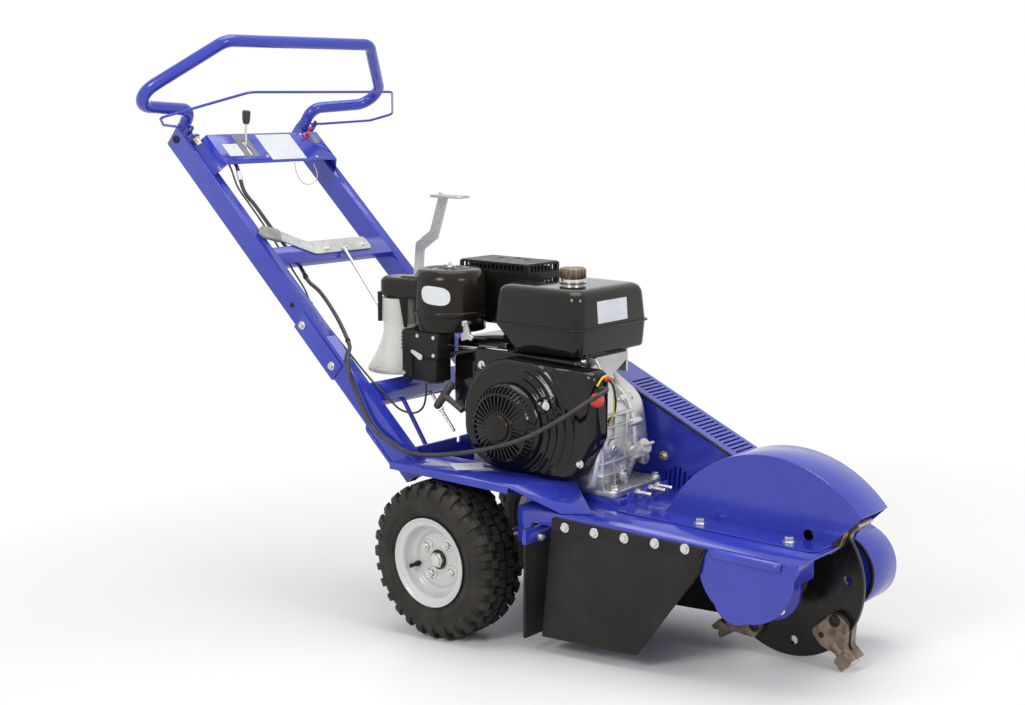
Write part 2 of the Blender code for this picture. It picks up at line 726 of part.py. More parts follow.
def tyre(name, side):
    half = TYRE_WIDTH / 2
    inside = half - 0.007 - GAP
    seat = RIM_SEAT + GAP
    crown = TYRE_RADIUS - TREAD_DEPTH
    profile = [
        (seat, inside), (RIM_FLANGE + 0.004, inside), (RIM_FLANGE + 0.012, half - 0.001),
        (TYRE_RADIUS - 0.040, half), (crown - 0.010, half - 0.006), (crown - 0.001, half - 0.016),
        (crown, half * 0.3), (crown, -half * 0.3), (crown - 0.001, -half + 0.016),
        (crown - 0.010, -half + 0.006), (TYRE_RADIUS - 0.040, -half), (RIM_FLANGE + 0.012, -half + 0.001),
        (RIM_FLANGE + 0.004, -inside), (seat, -inside),
    ]
    body = turned(profile, TYRE_STEPS, wheel_axis(side), closed=True)
    for vert in body.data.vertices:
        y = vert.co.y - side * TRACK_HALF
        radius = hypot(vert.co.x, vert.co.z - AXLE_Z)
        if radius < crown - 0.005:
            continue
        step = round(TYRE_STEPS * atan2(vert.co.x, AXLE_Z - vert.co.z) / (2 * pi))
        raised = step % 4 in ((0, 1) if y > 0 else (0, 3))
        grow = TYRE_RADIUS / radius if raised else 1.0
        vert.co.x *= grow
        vert.co.z = AXLE_Z + (vert.co.z - AXLE_Z) * grow
    return part(name, body, TYRE, (0, side * TRACK_HALF, AXLE_Z), ROOT)


def axle():
    reach = TRACK_HALF + HUB_OUTER + GAP
    pieces = [rod((0, -reach - AXLE_STUB, AXLE_Z), (0, reach + AXLE_STUB, AXLE_Z), AXLE_RADIUS, 16)]
    for side in (-1, 1):
        washer = side * reach
        pieces.append(rod((0, washer, AXLE_Z), (0, washer + side * 0.0025, AXLE_Z),
                          AXLE_WASHER_RADIUS, 12))
        nut = washer + side * 0.002
        pieces.append(rod((0, nut, AXLE_Z), (0, nut + side * AXLE_NUT_THICK, AXLE_Z), AXLE_NUT_RADIUS, 6))
        spacer = (side * (DECK_HALF + GAP), side * (TRACK_HALF - HUB_INNER - GAP))
        pieces.append(rod((0, spacer[0], AXLE_Z), (0, spacer[1], AXLE_Z), AXLE_NUT_RADIUS, 12))
    return part("axle", fuse(*pieces), ZINC, (0, 0, AXLE_Z))


# Deck and plates

def deck_plate():
    outline = [
        (DECK_REAR, -DECK_HALF), (DECK_STEP, -DECK_HALF), (DECK_STEP, -RIGHT_EDGE),
        (DECK_FRONT, -RIGHT_EDGE), (DECK_FRONT, -SLOT_HALF), (SLOT_REAR, -SLOT_HALF),
        (SLOT_REAR, SLOT_HALF), (DECK_LEFT_FRONT, SLOT_HALF), (DECK_LEFT_FRONT, LEFT_EDGE),
        (DECK_STEP, LEFT_EDGE), (DECK_STEP, DECK_HALF), (DECK_REAR, DECK_HALF),
    ]
    base = plate_xy(outline, (DECK_LOW, DECK_TOP))
    lip_half = LEG_INNER - GAP
    pieces = [box((DECK_REAR - SHEET, DECK_REAR + SHEET), (-lip_half, lip_half),
                  (DECK_LOW, DECK_TOP + LIP_HEIGHT))]
    for side in (-1, 1):
        hanger = side * (DECK_HALF - HANGER_THICK)
        low = min(hanger, hanger + side * HANGER_THICK)
        pieces.append(box((-HANGER_LENGTH / 2, HANGER_LENGTH / 2), (low, low + HANGER_THICK),
                          (DECK_TOP - HANGER_DROP, DECK_LOW + 0.002)))
        rail = side * RAIL_Y
        pieces.append(box((BLOCK_REAR - 0.035, STOP_X + 0.004),
                          (rail - RAIL_WIDTH / 2, rail + RAIL_WIDTH / 2),
                          (DECK_TOP - 0.002, DECK_TOP + RAIL_HEIGHT)))
    pieces.append(box((STOP_X, STOP_X + 0.006), (-0.060, 0.080), (DECK_TOP - 0.002, DECK_TOP + STOP_HEIGHT)))
    lip = DECK_FRONT - FRONT_LIP_BACK
    pieces.append(box((lip - DECK_THICK, lip), (-RIGHT_EDGE, -FRONT_LIP_IN),
                      (DECK_LOW - FRONT_LIP_DROP, DECK_LOW + 0.002)))
    bar_top = FLAP_BAR_LOW + FLAP_BAR_HEIGHT
    for y in BAR_TAB_Y:
        pieces.append(box((FLAP_BAR_REAR + 0.0015, FLAP_BAR_FRONT - 0.0012),
                          (y - BAR_TAB_HALF, y + BAR_TAB_HALF), (bar_top - 0.002, DECK_LOW + 0.002)))
    pieces.append(box((FLAP_BAR_REAR, FLAP_BAR_FRONT), (-FLAP_BAR_RIGHT, LEFT_EDGE - FLAP_THICK),
                      (FLAP_BAR_LOW, bar_top)))
    bore = rod((0, -0.2, AXLE_Z), (0, 0.2, AXLE_Z), AXLE_RADIUS + GAP, 16)
    lip_top = DECK_TOP + LIP_HEIGHT
    notch_half = ROD_RADIUS + LOCK_NOTCH_SIDE
    notch = box((DECK_REAR - SHEET - 0.002, DECK_REAR + SHEET + 0.002),
                (ROD_END[1] - notch_half, ROD_END[1] + notch_half), (lip_top - LOCK_NOTCH, lip_top + 0.002))
    return part("deck_plate", cut(fuse(base, *pieces), bore, notch), BLUE)


def side_plate(name, y, tab_x, front, shaft_hole):
    """Deep front plate with a round tab that carries the cutter shaft's bearing."""
    band = DECK_TOP - SIDE_BAND
    rear = DECK_STEP + GAP
    corner = band - SIDE_REAR_DROP
    outline = [(rear, DECK_TOP), (rear, corner), (DECK_STEP + SIDE_REAR_LOW, corner),
               (DECK_STEP + SIDE_REAR_TOP, band)]
    outline += arc((tab_x, band), TAB_RADIUS, 180, 360, 16)
    outline += [(front + 0.005, band + 0.020), (front - 0.004, DECK_TOP)]
    holes = [circle((CUTTER_X, CUTTER_Z), SHAFT_RADIUS + 0.003, 16)] if shaft_hole else []
    return part(name, plate_xz(outline, y, holes), BLUE)


def fender(name, side, front_panel):
    """Folded sheet over a tyre. The open surface is its underside, and the sheet lies outside it."""
    top = DECK_TOP + FENDER_RISE
    rear = -FENDER_HALF
    front = FENDER_FRONT if front_panel else FENDER_HALF
    front_in = FENDER_FRONT_IN if front_panel else FENDER_HALF
    points = [
        (rear, FENDER_OUT, top - FENDER_LIP), (front, FENDER_OUT, top - FENDER_LIP),
        (rear, FENDER_OUT, top), (front, FENDER_OUT, top),
        (rear, FENDER_IN, top), (front_in, FENDER_IN, top),
        (rear, FENDER_IN, SEAT), (front_in, FENDER_IN, SEAT),
        (0.300, LEG_OUTER, SEAT), (0.350, 0.166, SEAT),
    ]
    faces = [(0, 1, 3, 2), (2, 3, 5, 4), (4, 5, 7, 6)]
    if front_panel:
        faces += [(3, 8, 9, 5)]
    else:
        points = points[:8]
    bm = bmesh.new()
    verts = [bm.verts.new((x, side * y, z)) for x, y, z in points]
    for face in faces:
        bm.faces.new([verts[k] for k in face])
    bmesh.ops.recalc_face_normals(bm, faces=bm.faces)
    bm.faces.ensure_lookup_table()
    if bm.faces[1].normal.z < 0:
        bmesh.ops.reverse_faces(bm, faces=bm.faces)
    obj = from_bmesh(bm)
    shell = obj.modifiers.new("sheet", "SOLIDIFY")
    shell.thickness = SHEET
    shell.offset = 1.0
    shell.use_even_offset = True
    obj = evaluated(obj)
    low = side * LEG_INNER - side * 0.001
    high = side * LEG_OUTER + side * 0.004
    notch = box((rear - 0.010, -0.078), (min(low, high), max(low, high)), (top - 0.040, top + 0.010))
    return part(name, cut(obj, notch), BLUE)


def flap(name, rear_head, front_head, shorter, y):
    """Side flap from its head's corners (x, z) down, with its front the given length shorter."""
    corner = (FLAP_CORNER[0] - shorter, DECK_TOP - FLAP_CORNER[1])
    foot = [(x, DECK_TOP - drop) for x, drop in (FLAP_FRONT_FOOT, FLAP_REAR_FOOT)]
    outline = [rear_head, front_head, corner, *foot]
    return part(name, plate_xz(outline, y), RUBBER)


def flaps():
    right = SIDE_RIGHT[0] - GAP
    left = SIDE_LEFT[0] - GAP
    head = DECK_TOP - FLAP_HEAD
    under = DECK_LOW - GAP
    flap("flap_right", (FLAP_REAR, head), (FLAP_FRONT, head + FLAP_LEAN), 0, (right - FLAP_THICK, right))
    flap("flap_left", (FLAP_REAR, under), (FLAP_FRONT - INNER_FLAP_SHORTER, under), INNER_FLAP_SHORTER,
         (left - FLAP_THICK, left))
    bar_back = FLAP_BAR_REAR - GAP
    rear = box((bar_back - FLAP_THICK, bar_back), (-REAR_FLAP_RIGHT, LEFT_EDGE - FLAP_THICK),
               (DECK_TOP - FLAP_FOOT, FLAP_BAR_LOW + FLAP_BAR_HEIGHT - 0.002))
    part("flap_rear", rear, RUBBER)


# Handle frame

def leg(name, side):
    """Upper tube of one side, with the ear that carries the bail."""
    y = sorted((side * LEG_INNER, side * LEG_OUTER))
    body = box((LEG_TOP, LEG_JOINT), y, (0, LEG_DEPTH))
    hollow = box((LEG_TOP - 0.010, LEG_JOINT + 0.010), (y[0] + LEG_WALL, y[1] - LEG_WALL),
                 (LEG_WALL, LEG_DEPTH - LEG_WALL))
    body = cut(body, hollow)
    ear_y = sorted((side * (LEG_OUTER - 0.001), side * (LEG_OUTER - 0.004)))
    pieces = [box((EAR_BACK, EAR_FRONT), ear_y, (LEG_DEPTH - 0.001, BAIL_N + 0.008))]
    if side < 0:
        guide = EAR_FRONT + 0.0090
        pieces.append(box((guide, guide + 0.006), (-FINGER_Y - 0.009, -FINGER_Y + 0.008),
                          (LEG_DEPTH - 0.001, LEG_DEPTH + 0.021)))
    body = fuse(body, *pieces)
    holes = [rod((BAIL_S, side * 0.19, BAIL_N), (BAIL_S, side * 0.21, BAIL_N), BAIL_RADIUS + GAP, 12)]
    if side < 0:
        holes.append(rod((EAR_FRONT, -FINGER_Y, PLUNGER_N), (EAR_FRONT + 0.03, -FINGER_Y, PLUNGER_N),
                         PLUNGER_RADIUS + GAP, 12))
    return part(name, cut(body, *holes), BLUE, parent=LEG_FRAME)


def lower_leg(name, side):
    """Lower tube, cut clear of the tyre, with the splice channel round the upper tube and a tie loop."""
    y = sorted((side * LEG_INNER, side * LEG_OUTER))
    axle_s, axle_n = to_leg(0, AXLE_Z)
    body = box((LEG_JOINT + GAP, LEG_END), y, (0, LEG_DEPTH))
    hollow = box((LEG_JOINT - 0.010, LEG_END + 0.010), (y[0] + LEG_WALL, y[1] - LEG_WALL),
                 (LEG_WALL, LEG_DEPTH - LEG_WALL))
    clear = rod((axle_s, -0.3, axle_n), (axle_s, 0.3, axle_n), TYRE_RADIUS + LEG_TYRE_GAP, 64)
    body = cut(body, hollow, clear)
    face = side * (LEG_OUTER + GAP)
    back = side * (LEG_OUTER + GAP + SHEET)
    under = side * (LEG_INNER + 0.002)
    web = box((SPLICE_START, SPLICE_END), sorted((face, back)), (-SHEET - GAP, LEG_DEPTH * 0.8))
    foot = box((SPLICE_START, SPLICE_END), sorted((under, back)), (-SHEET - GAP, -GAP))
    weld = box((LEG_JOINT + 0.010, SPLICE_END - 0.004), sorted((side * (LEG_OUTER - 0.001), back)),
               (0.004, LEG_DEPTH * 0.7))
    loop_y = side * (LEG_INNER + LEG_OUTER) / 2
    loop = tube(bent([(s, loop_y, n) for s, n in TIE_LOOP], (TIE_LOOP_BEND, TIE_LOOP_BEND)), LOOP_RADIUS)
    return part(name, fuse(body, web, foot, weld, loop), BLUE, parent=LEG_FRAME)


def channel(start, width):
    """Cross-member folded from sheet, open below and flush with the tops of the legs."""
    end = start + width
    top = LEG_DEPTH
    low = top - MEMBER_FLANGE
    half = LEG_INNER - GAP
    outline = [
        (start, low), (start + SHEET, low), (start + SHEET, top - SHEET), (end - SHEET, top - SHEET),
        (end - SHEET, low), (end, low), (end, top), (start, top),
    ]
    return plate_xz(outline, (-half, half))


def members():
    part("upper_cross_member", channel(UPPER_MEMBER, UPPER_MEMBER_WIDTH), BLUE, parent=LEG_FRAME)
    body = channel(LOWER_MEMBER, LOWER_MEMBER_WIDTH)
    lip_s, lip_n = to_leg(DECK_REAR - SHEET - 0.0055, DECK_TOP + 0.035)
    brace = rod((LOWER_MEMBER + LOWER_MEMBER_WIDTH - 0.002, -0.100, LEG_DEPTH - 0.012),
                (lip_s, -0.100, lip_n), LOOP_RADIUS, 10)
    passage = rod(ROD_START, ROD_END, ROD_RADIUS + GAP, 12)
    part("lower_cross_member", cut(fuse(body, brace), passage), BLUE, parent=LEG_FRAME)


def console_panel():
    foot = CONSOLE_HALF + 0.020
    seat = LEG_DEPTH + GAP
    top = CONSOLE_N
    under = top - SHEET
    inner = CONSOLE_HALF - 0.002
    outline = [
        (-foot, seat), (-foot + 0.004, seat), (-inner, under), (inner, under), (foot - 0.004, seat),
        (foot, seat), (CONSOLE_HALF, top), (-CONSOLE_HALF, top),
    ]
    end = CONSOLE_TOP + CONSOLE_LENGTH
    body = plate_yz(outline, (CONSOLE_TOP, end))
    ear = box((THROTTLE_S - 0.008, THROTTLE_S + 0.008), (THROTTLE_Y - 0.0085, THROTTLE_Y - 0.0055),
              (THROTTLE_N - 0.008, under + 0.001))
    gland = box((-0.030, -0.012), (-0.165, -0.128), (under - 0.018, under + 0.001))
    boss = rod((TOGGLE_S, TOGGLE_Y, top - 0.001), (TOGGLE_S, TOGGLE_Y, top + TOGGLE_BOSS), 0.009, 12)
    body = fuse(body, ear, gland, boss)
    slot = box((-0.050, -0.004), (THROTTLE_Y - 0.0045, THROTTLE_Y + 0.0045), (under - 0.002, top + 0.002))
    pin_hole = rod((THROTTLE_S, THROTTLE_Y - 0.012, THROTTLE_N), (THROTTLE_S, THROTTLE_Y - 0.004, THROTTLE_N),
                   0.003 + GAP, 12)
    return part("console_panel", cut(body, slot, pin_hole), BLUE, parent=LEG_FRAME)


def throttle_lever():
    pivot = (THROTTLE_S, THROTTLE_Y, THROTTLE_N)
    reach = Vector((THROTTLE_TOP_S - THROTTLE_S, 0, THROTTLE_TOP_N - THROTTLE_N))
    turn = Matrix.Translation(pivot) @ reach.to_track_quat("Z", "Y").to_matrix().to_4x4()
    stem = box((-0.0015, 0.0015), (-0.0035, 0.0035), (-0.004, reach.length))
    along, across = THROTTLE_KNOB
    knob = softened(box((-across / 2, across / 2), (-along / 2, along / 2),
                        (reach.length - THROTTLE_KNOB_DOWN, reach.length + THROTTLE_KNOB_UP)), 0.003)
    for piece in (stem, knob):
        piece.data.transform(turn @ Matrix.Rotation(pi / 2, 4, "Z"))
    pin = rod((THROTTLE_S, THROTTLE_Y - 0.0095, THROTTLE_N), (THROTTLE_S, THROTTLE_Y, THROTTLE_N), 0.003, 12)
    return part("throttle_lever", fuse(stem, knob, pin), PLASTIC, pivot, LEG_FRAME)


def toggle_switch():
    pivot = (TOGGLE_S, TOGGLE_Y, CONSOLE_N + TOGGLE_BOSS + GAP + TOGGLE_BALL)
    tip = (pivot[0] - TOGGLE_LENGTH * sin(TOGGLE_LEAN), pivot[1],
           pivot[2] + TOGGLE_LENGTH * cos(TOGGLE_LEAN))
    bm = bmesh.new()
    bmesh.ops.create_uvsphere(bm, u_segments=12, v_segments=8, radius=TOGGLE_BALL,
                              matrix=Matrix.Translation(pivot))
    ball = from_bmesh(bm)
    return part("toggle_switch", fuse(ball, rod(pivot, tip, 0.003, 10, 0.0045)), RED, pivot, LEG_FRAME)


def above_leg(offset, side):
    """Handle frame point of a place given from the legs' reference point, level and upright."""
    x, y, z = offset
    s, n = to_leg(LEG_REF_X + x, LEG_REF_Z + z)
    return s, side * y, n


def handle_bar():
    ends = []
    feet = []
    for side in (-1, 1):
        ends.append([(POST_S, side * POST_Y, LEG_DEPTH + 0.003), above_leg(POST_TOP, side),
                     above_leg(BAR_CORNER, side), above_leg(BAR_TOP, side)])
        feet.append(box((POST_S - 0.0095, POST_S + 0.013), sorted((side * LEG_INNER, side * LEG_OUTER)),
                        (LEG_DEPTH + GAP, LEG_DEPTH + 0.006)))
    points = ends[0] + ends[1][::-1]
    radii = (BAR_BEND * 0.7, BAR_BEND, BAR_BEND, BAR_BEND, BAR_BEND, BAR_BEND * 0.7)
    loop = tube(bent(points, radii, 5), BAR_RADIUS)
    trim = box((-0.3, 0.1), (-0.3, 0.3), (-0.05, LEG_DEPTH + 0.001))
    return part("handle_bar", fuse(cut(loop, trim), *feet), BLUE, parent=LEG_FRAME)


def bail():
    pivot = (BAIL_S, 0, BAIL_N)
    near = [(BAIL_S, -FINGER_Y, BAIL_N - 0.0215), (BAIL_S, -FINGER_Y, BAIL_N),
            (BAIL_S, -BAIL_SWING_Y, BAIL_N), above_leg(BAIL_LOW, -1), above_leg(BAIL_CORNER, -1),
            above_leg(BAIL_TOP, -1)]
    far = [above_leg(BAIL_TOP, 1), above_leg(BAIL_CORNER, 1), above_leg(BAIL_LOW, 1),
           (BAIL_S, BAIL_SWING_Y, BAIL_N), (BAIL_S, LEG_INNER + 0.012, BAIL_N)]
    radii = (0.006, 0.010, 0.015, 0.015, BAIL_BEND, BAIL_BEND, 0.015, 0.015, 0.010)
    return part("bail", tube(bent(near + far, radii, 3), BAIL_RADIUS), BLUE, pivot, LEG_FRAME)


def bail_switch():
    start = BAIL_S + BAIL_RADIUS + GAP
    body = rod((start, -FINGER_Y, PLUNGER_N), (start + PLUNGER_LENGTH, -FINGER_Y, PLUNGER_N),
               PLUNGER_RADIUS, 12)
    return part("bail_switch", body, BRASS, (start, -FINGER_Y, PLUNGER_N), LEG_FRAME)


def lock_lever():
    low = LEG_DEPTH + GAP

    def placed(outline):
        return rounded([(LOCK_S + s, LOCK_Y + y, radius) for s, y, radius in outline])

    plate_part = plate_xy(placed(LOCK_OUTLINE), (low, low + LOCK_THICK))
    paddle = softened(plate_xy(placed(GRIP_OUTLINE), (low, low + LOCK_GRIP_THICK)), 0.003)
    return part("lock_lever", fuse(plate_part, paddle), ZINC, (LOCK_S, LOCK_Y, low), LEG_FRAME)


def lock_rod():
    return part("lock_rod", rod(ROD_START, ROD_END, ROD_RADIUS, 12), ZINC, ROD_START, LEG_FRAME)


def strap_outline():
    """The strap's edges on both sides of its jogged centre line, with a rounded foot."""
    line = [Vector((LEG_REF_X + x, LEG_REF_Z + z)) for x, z in STRAP_LINE]
    left, right = [], []
    for k, here in enumerate(line):
        ahead = (line[min(k + 1, len(line) - 1)] - here).normalized() if k < len(line) - 1 else None
        behind = (here - line[k - 1]).normalized() if k else ahead
        ahead = ahead or behind
        middle = (ahead + behind).normalized()
        normal = Vector((-middle.y, middle.x)) * (STRAP_WIDTH / 2 / middle.dot(ahead))
        left.append(tuple(here + normal))
        right.append(tuple(here - normal))
    return left[::-1], right, line


def strap_lever():
    left, right, line = strap_outline()
    outer = LEG_INNER - GAP
    body = plate_xz(right + left, (outer - STRAP_THICK, outer))
    foot = rod((line[0].x, outer - STRAP_THICK, line[0].y), (line[0].x, outer, line[0].y),
               STRAP_WIDTH / 2, 16)
    top = line[-1]
    tab = box((top.x - STRAP_WIDTH / 2, top.x + 0.080), (outer - 0.040, outer),
              (top.y - STRAP_THICK, top.y))
    return part("strap_lever", fuse(body, foot, tab), ZINC, (line[0].x, outer, line[0].y))


# Cutter drive

def bearing(name, face, side, depth, collar_radius):
    """Flanged bearing on a side plate's inner face, inward to the given depth; side is that direction."""
    inside = face + side * BEARING_FLANGE
    end = face + side * depth

    def ring(start, stop, radius):
        return rod((CUTTER_X, start, CUTTER_Z), (CUTTER_X, stop, CUTTER_Z), radius, 20)

    pieces = [ring(inside - side * 0.001, end, BEARING_HUB_RADIUS)]
    if collar_radius:
        pieces.append(ring(end - side * BEARING_FLANGE, end, collar_radius))
    body = fuse(ring(face, inside, BEARING_RADIUS), *pieces)
    return part(name, cut(body, ring(-0.3, 0.3, SHAFT_RADIUS + GAP)), BLUE)


def pulley(x, z, radius, bore):
    """Grooved pulley on a shaft along Y."""
    half = BELT_WIDTH / 2
    groove = radius - BELT_DEPTH - 0.001
    profile = [(bore, -half - 0.003), (radius, -half - 0.003), (radius, -half), (groove, -half + 0.002),
               (groove, half - 0.002), (radius, half), (radius, half + 0.003), (bore, half + 0.003)]
    turn = Matrix.Translation((x, BELT_Y, z)) @ Matrix.Rotation(-pi / 2, 4, "X")
    return turned(profile, 24, turn, closed=True)


def drive_belt():
    half = BELT_WIDTH / 2 - 0.0025
    crank = (CRANK_X, CRANK_Z)
    cutter = (CUTTER_X, CUTTER_Z)
    inner = BELT_DEPTH + 0.001 - GAP
    outer = hull(crank, CRANK_PULLEY_RADIUS - 0.0005, cutter, CUTTER_PULLEY_RADIUS - 0.0005, 20)
    short = inner - 0.0008
    hole = hull(crank, CRANK_PULLEY_RADIUS - short, cutter, CUTTER_PULLEY_RADIUS - short, 20)
    return part("drive_belt", plate_xz(outer, (BELT_Y - half, BELT_Y + half), [hole]), RUBBER)


def cutter_shaft():
    start = SIDE_RIGHT[1] + 0.005
    end = BELT_Y + BELT_WIDTH / 2 + SHAFT_PAST
    body = rod((CUTTER_X, start, CUTTER_Z), (CUTTER_X, end, CUTTER_Z), SHAFT_RADIUS, 20)
    return part("cutter_shaft", body, STEEL, (CUTTER_X, 0, CUTTER_Z))


def cutter_disc():
    half = DISC_THICK / 2
    holes = [circle((CUTTER_X, CUTTER_Z), SHAFT_RADIUS + GAP, 20)]
    for k in range(0, TEETH, 2):
        for offset in (BOLT_OFFSET, SPARE_OFFSET):
            angle = tooth_angle(k) + offset
            spot = (CUTTER_X + BIG_BOLT_CIRCLE * cos(angle), CUTTER_Z + BIG_BOLT_CIRCLE * sin(angle))
            holes.append(circle(spot, BOLT_RADIUS + RUN, 8))
    body = plate_xz(circle((CUTTER_X, CUTTER_Z), DISC_RADIUS, 40), (-half, half), holes)
    hub = rod((CUTTER_X, -DISC_HUB_HALF, CUTTER_Z), (CUTTER_X, DISC_HUB_HALF, CUTTER_Z), DISC_HUB_RADIUS, 16)
    bore = rod((CUTTER_X, -0.1, CUTTER_Z), (CUTTER_X, 0.1, CUTTER_Z), SHAFT_RADIUS + GAP, 20)
    return part("cutter_disc", cut(fuse(body, hub), bore), DISC, (CUTTER_X, 0, CUTTER_Z))


def tooth_angle(k):
    """Direction of a tooth's head. Teeth sit in pairs, one on each face of the disc."""
    return TOOTH_START + TOOTH_PITCH * (k // 2)


def tooth(k):
    """Pocket on one face of the disc with its bolt and screw, and the head past the rim."""
    side = -1 if k % 2 == 0 else 1
    spin = Matrix.Translation((CUTTER_X, 0, CUTTER_Z)) @ Matrix.Rotation(-tooth_angle(k), 4, "Y")
    face = DISC_THICK / 2 + GAP
    pocket = rounded(POCKET, 1)
    near = sorted((side * face, side * (face + TOOTH_THICK)))
    bolt = (BIG_BOLT_CIRCLE * cos(BOLT_OFFSET), BIG_BOLT_CIRCLE * sin(BOLT_OFFSET))
    screw = (BIG_BOLT_CIRCLE * cos(SCREW_OFFSET), BIG_BOLT_CIRCLE * sin(SCREW_OFFSET))
    top = face + TOOTH_THICK
    pieces = [
        box((HEAD_START, TIP_RADIUS), sorted((side * 0.001, side * (top + HEAD_PROUD))),
            (-TOOTH_TRAIL, TOOTH_LEAD)),
        rod((bolt[0], side * (top + 0.003), bolt[1]), (bolt[0], side * GAP, bolt[1]), BOLT_RADIUS, 8),
        rod((screw[0], side * 0.010, screw[1]), (screw[0], side * (top + 0.002), screw[1]), 0.005, 6),
    ]
    body = fuse(plate_xz(pocket, near), *pieces)
    body.data.transform(spin)
    return part("cutter_tooth_%d" % (k + 1), body, STEEL, (CUTTER_X, 0, CUTTER_Z))


def cutter_hood():
    front = HOOD_FRONT_ANGLE
    rear = 180 - degrees(atan2(SEAT - HOOD_Z, sqrt(HOOD_RADIUS ** 2 - (SEAT - HOOD_Z) ** 2)))
    outline = arc((HOOD_X, HOOD_Z), HOOD_RADIUS, front, rear, 20)
    outline += [(HOOD_LIP_X, SEAT)]
    shell = plate_xz(outline, (-HOOD_RIGHT, HOOD_LEFT))
    inside = arc((HOOD_X, HOOD_Z), HOOD_RADIUS - SHEET, front - 30, rear + 30, 24)
    inside += [(HOOD_X - 0.1, 0.2), (HOOD_X + 0.3, 0.2)]
    hollow = plate_xz(inside, (-HOOD_RIGHT + SHEET, HOOD_LEFT - SHEET))
    shell = cut(shell, hollow)
    rear_x = HOOD_X - sqrt(HOOD_RADIUS ** 2 - (SEAT - HOOD_Z) ** 2)
    flange = box((HOOD_FLANGE_REAR, HOOD_FLANGE_FRONT), (-HOOD_FLANGE, -HOOD_RIGHT + 0.002),
                 (SEAT, SEAT + SHEET))
    tail = box((HOOD_FLANGE_REAR, rear_x + 0.003), (-HOOD_FLANGE, HOOD_LEFT), (SEAT, SEAT + SHEET))
    return part("cutter_hood", fuse(shell, flange, tail), BLUE)


def belt_guard():
    rear = (CRANK_X, CRANK_Z)
    front = (CUTTER_X + GUARD_SHIFT_X, CUTTER_Z + GUARD_SHIFT_Z)
    outline = hull(rear, GUARD_REAR_RADIUS, front, GUARD_FRONT_RADIUS, 16)
    inner = hull(rear, GUARD_REAR_RADIUS - SHEET, front, GUARD_FRONT_RADIUS - SHEET, 16)
    shell = plate_xz(outline, GUARD_Y)
    hollow = plate_xz(inner, (GUARD_Y[0] + SHEET, GUARD_Y[1] - SHEET))
    holes = [rod((x, GUARD_Y[0] - 0.01, z), (x, GUARD_Y[0] + 0.02, z), GUARD_HOLE, 16)
             for x, z in ((CUTTER_X, CUTTER_Z), (CRANK_X, CRANK_Z))]
    return part("belt_guard", cut(shell, hollow, *holes), BLUE)


# Engine

def engine_block():
    face = -BLOCK_HALF + GAP
    case = softened(box((BLOCK_REAR, BLOCK_FRONT), (face, BLOCK_HALF), (BLOCK_LOW, BLOCK_TOP)), 0.012)
    foot = box((BLOCK_REAR - FOOT_PAST[0], BLOCK_FRONT + FOOT_PAST[1]),
               (-RAIL_Y - RAIL_WIDTH / 2, RAIL_Y + RAIL_WIDTH / 2), (BLOCK_LOW, BLOCK_LOW + FOOT_THICK))
    top = DECK_TOP + TANK_RISE - GAP
    head = softened(box(HEAD_X, (CARB_Y[1] + GAP, HEAD_LEFT), (BLOCK_LOW + HEAD_RISE, BLOCK_TOP + HEAD_TOP)),
                    0.006)
    posts = [box((TANK_X[0] + POST_IN[0], TANK_X[1] - POST_IN[1]), (y, y + POST_THICK),
                 (BLOCK_TOP - 0.010, top)) for y in POST_PLACES]
    neck_start = (BLOCK_FRONT - 0.006, DIPSTICK_Y, DIPSTICK_Z - 0.014)
    neck = rod(neck_start, DIPSTICK_SEAT, FILLER_RADIUS, 12)
    bore = rod((CRANK_X, -0.3, CRANK_Z), (CRANK_X, 0.3, CRANK_Z), CRANK_RADIUS + RUN, 20)
    return part("engine_block", cut(fuse(case, foot, head, *posts, neck), bore), ALUMINIUM)


def cover_outline(shrink):
    low = DECK_TOP + COVER_LOW + shrink
    left = COVER_LEFT + shrink
    right = COVER_RIGHT - shrink
    top = DECK_TOP + COVER_TOP - shrink
    corners = [(left, low), (right - COVER_SIDE, low), (right, low + COVER_STEP), (right, top - COVER_SLOPE),
               (left, top)]
    return rounded([(*corner, radius) for corner, radius in zip(corners, COVER_RADII)], 5)


def fan_cover():
    front = -BLOCK_HALF - COVER_DEPTH
    body = plate_xz(cover_outline(0), (front, -BLOCK_HALF))
    hollow = plate_xz(cover_outline(COVER_WALL), (front + COVER_WALL, -BLOCK_HALF + 0.010))
    return part("fan_cover", cut(body, hollow), BLACK)


def recoil_housing():
    back = -BLOCK_HALF - COVER_DEPTH - GAP
    turn = Matrix.Translation((CRANK_X, back, CRANK_Z)) @ Matrix.Rotation(pi / 2, 4, "X")
    edge = RECOIL_RADIUS
    profile = [(0, RECOIL_DEPTH), (RECOIL_HUB, RECOIL_DEPTH), (RECOIL_HUB + 0.004, RECOIL_DEPTH - 0.004),
               (edge * 0.75, RECOIL_DEPTH - 0.007), (edge * 0.93, RECOIL_DEPTH - 0.014),
               (edge, RECOIL_DEPTH - 0.026), (edge, 0), (0, 0)]
    return part("recoil_housing", turned(profile, 28, turn), BLACK)


def crankshaft():
    near = -BLOCK_HALF - COVER_DEPTH + COVER_WALL + 0.008
    end = BELT_Y + BELT_WIDTH / 2 + SHAFT_PAST
    shaft = rod((CRANK_X, near, CRANK_Z), (CRANK_X, end, CRANK_Z), CRANK_RADIUS, 16)
    wheel = rod((CRANK_X, near + 0.004, CRANK_Z), (CRANK_X, -BLOCK_HALF - 0.008, CRANK_Z),
                FLYWHEEL_RADIUS, 24)
    grooved = pulley(CRANK_X, CRANK_Z, CRANK_PULLEY_RADIUS, CRANK_RADIUS - 0.001)
    return part("crankshaft", fuse(shaft, wheel, grooved), STEEL, (CRANK_X, 0, CRANK_Z))


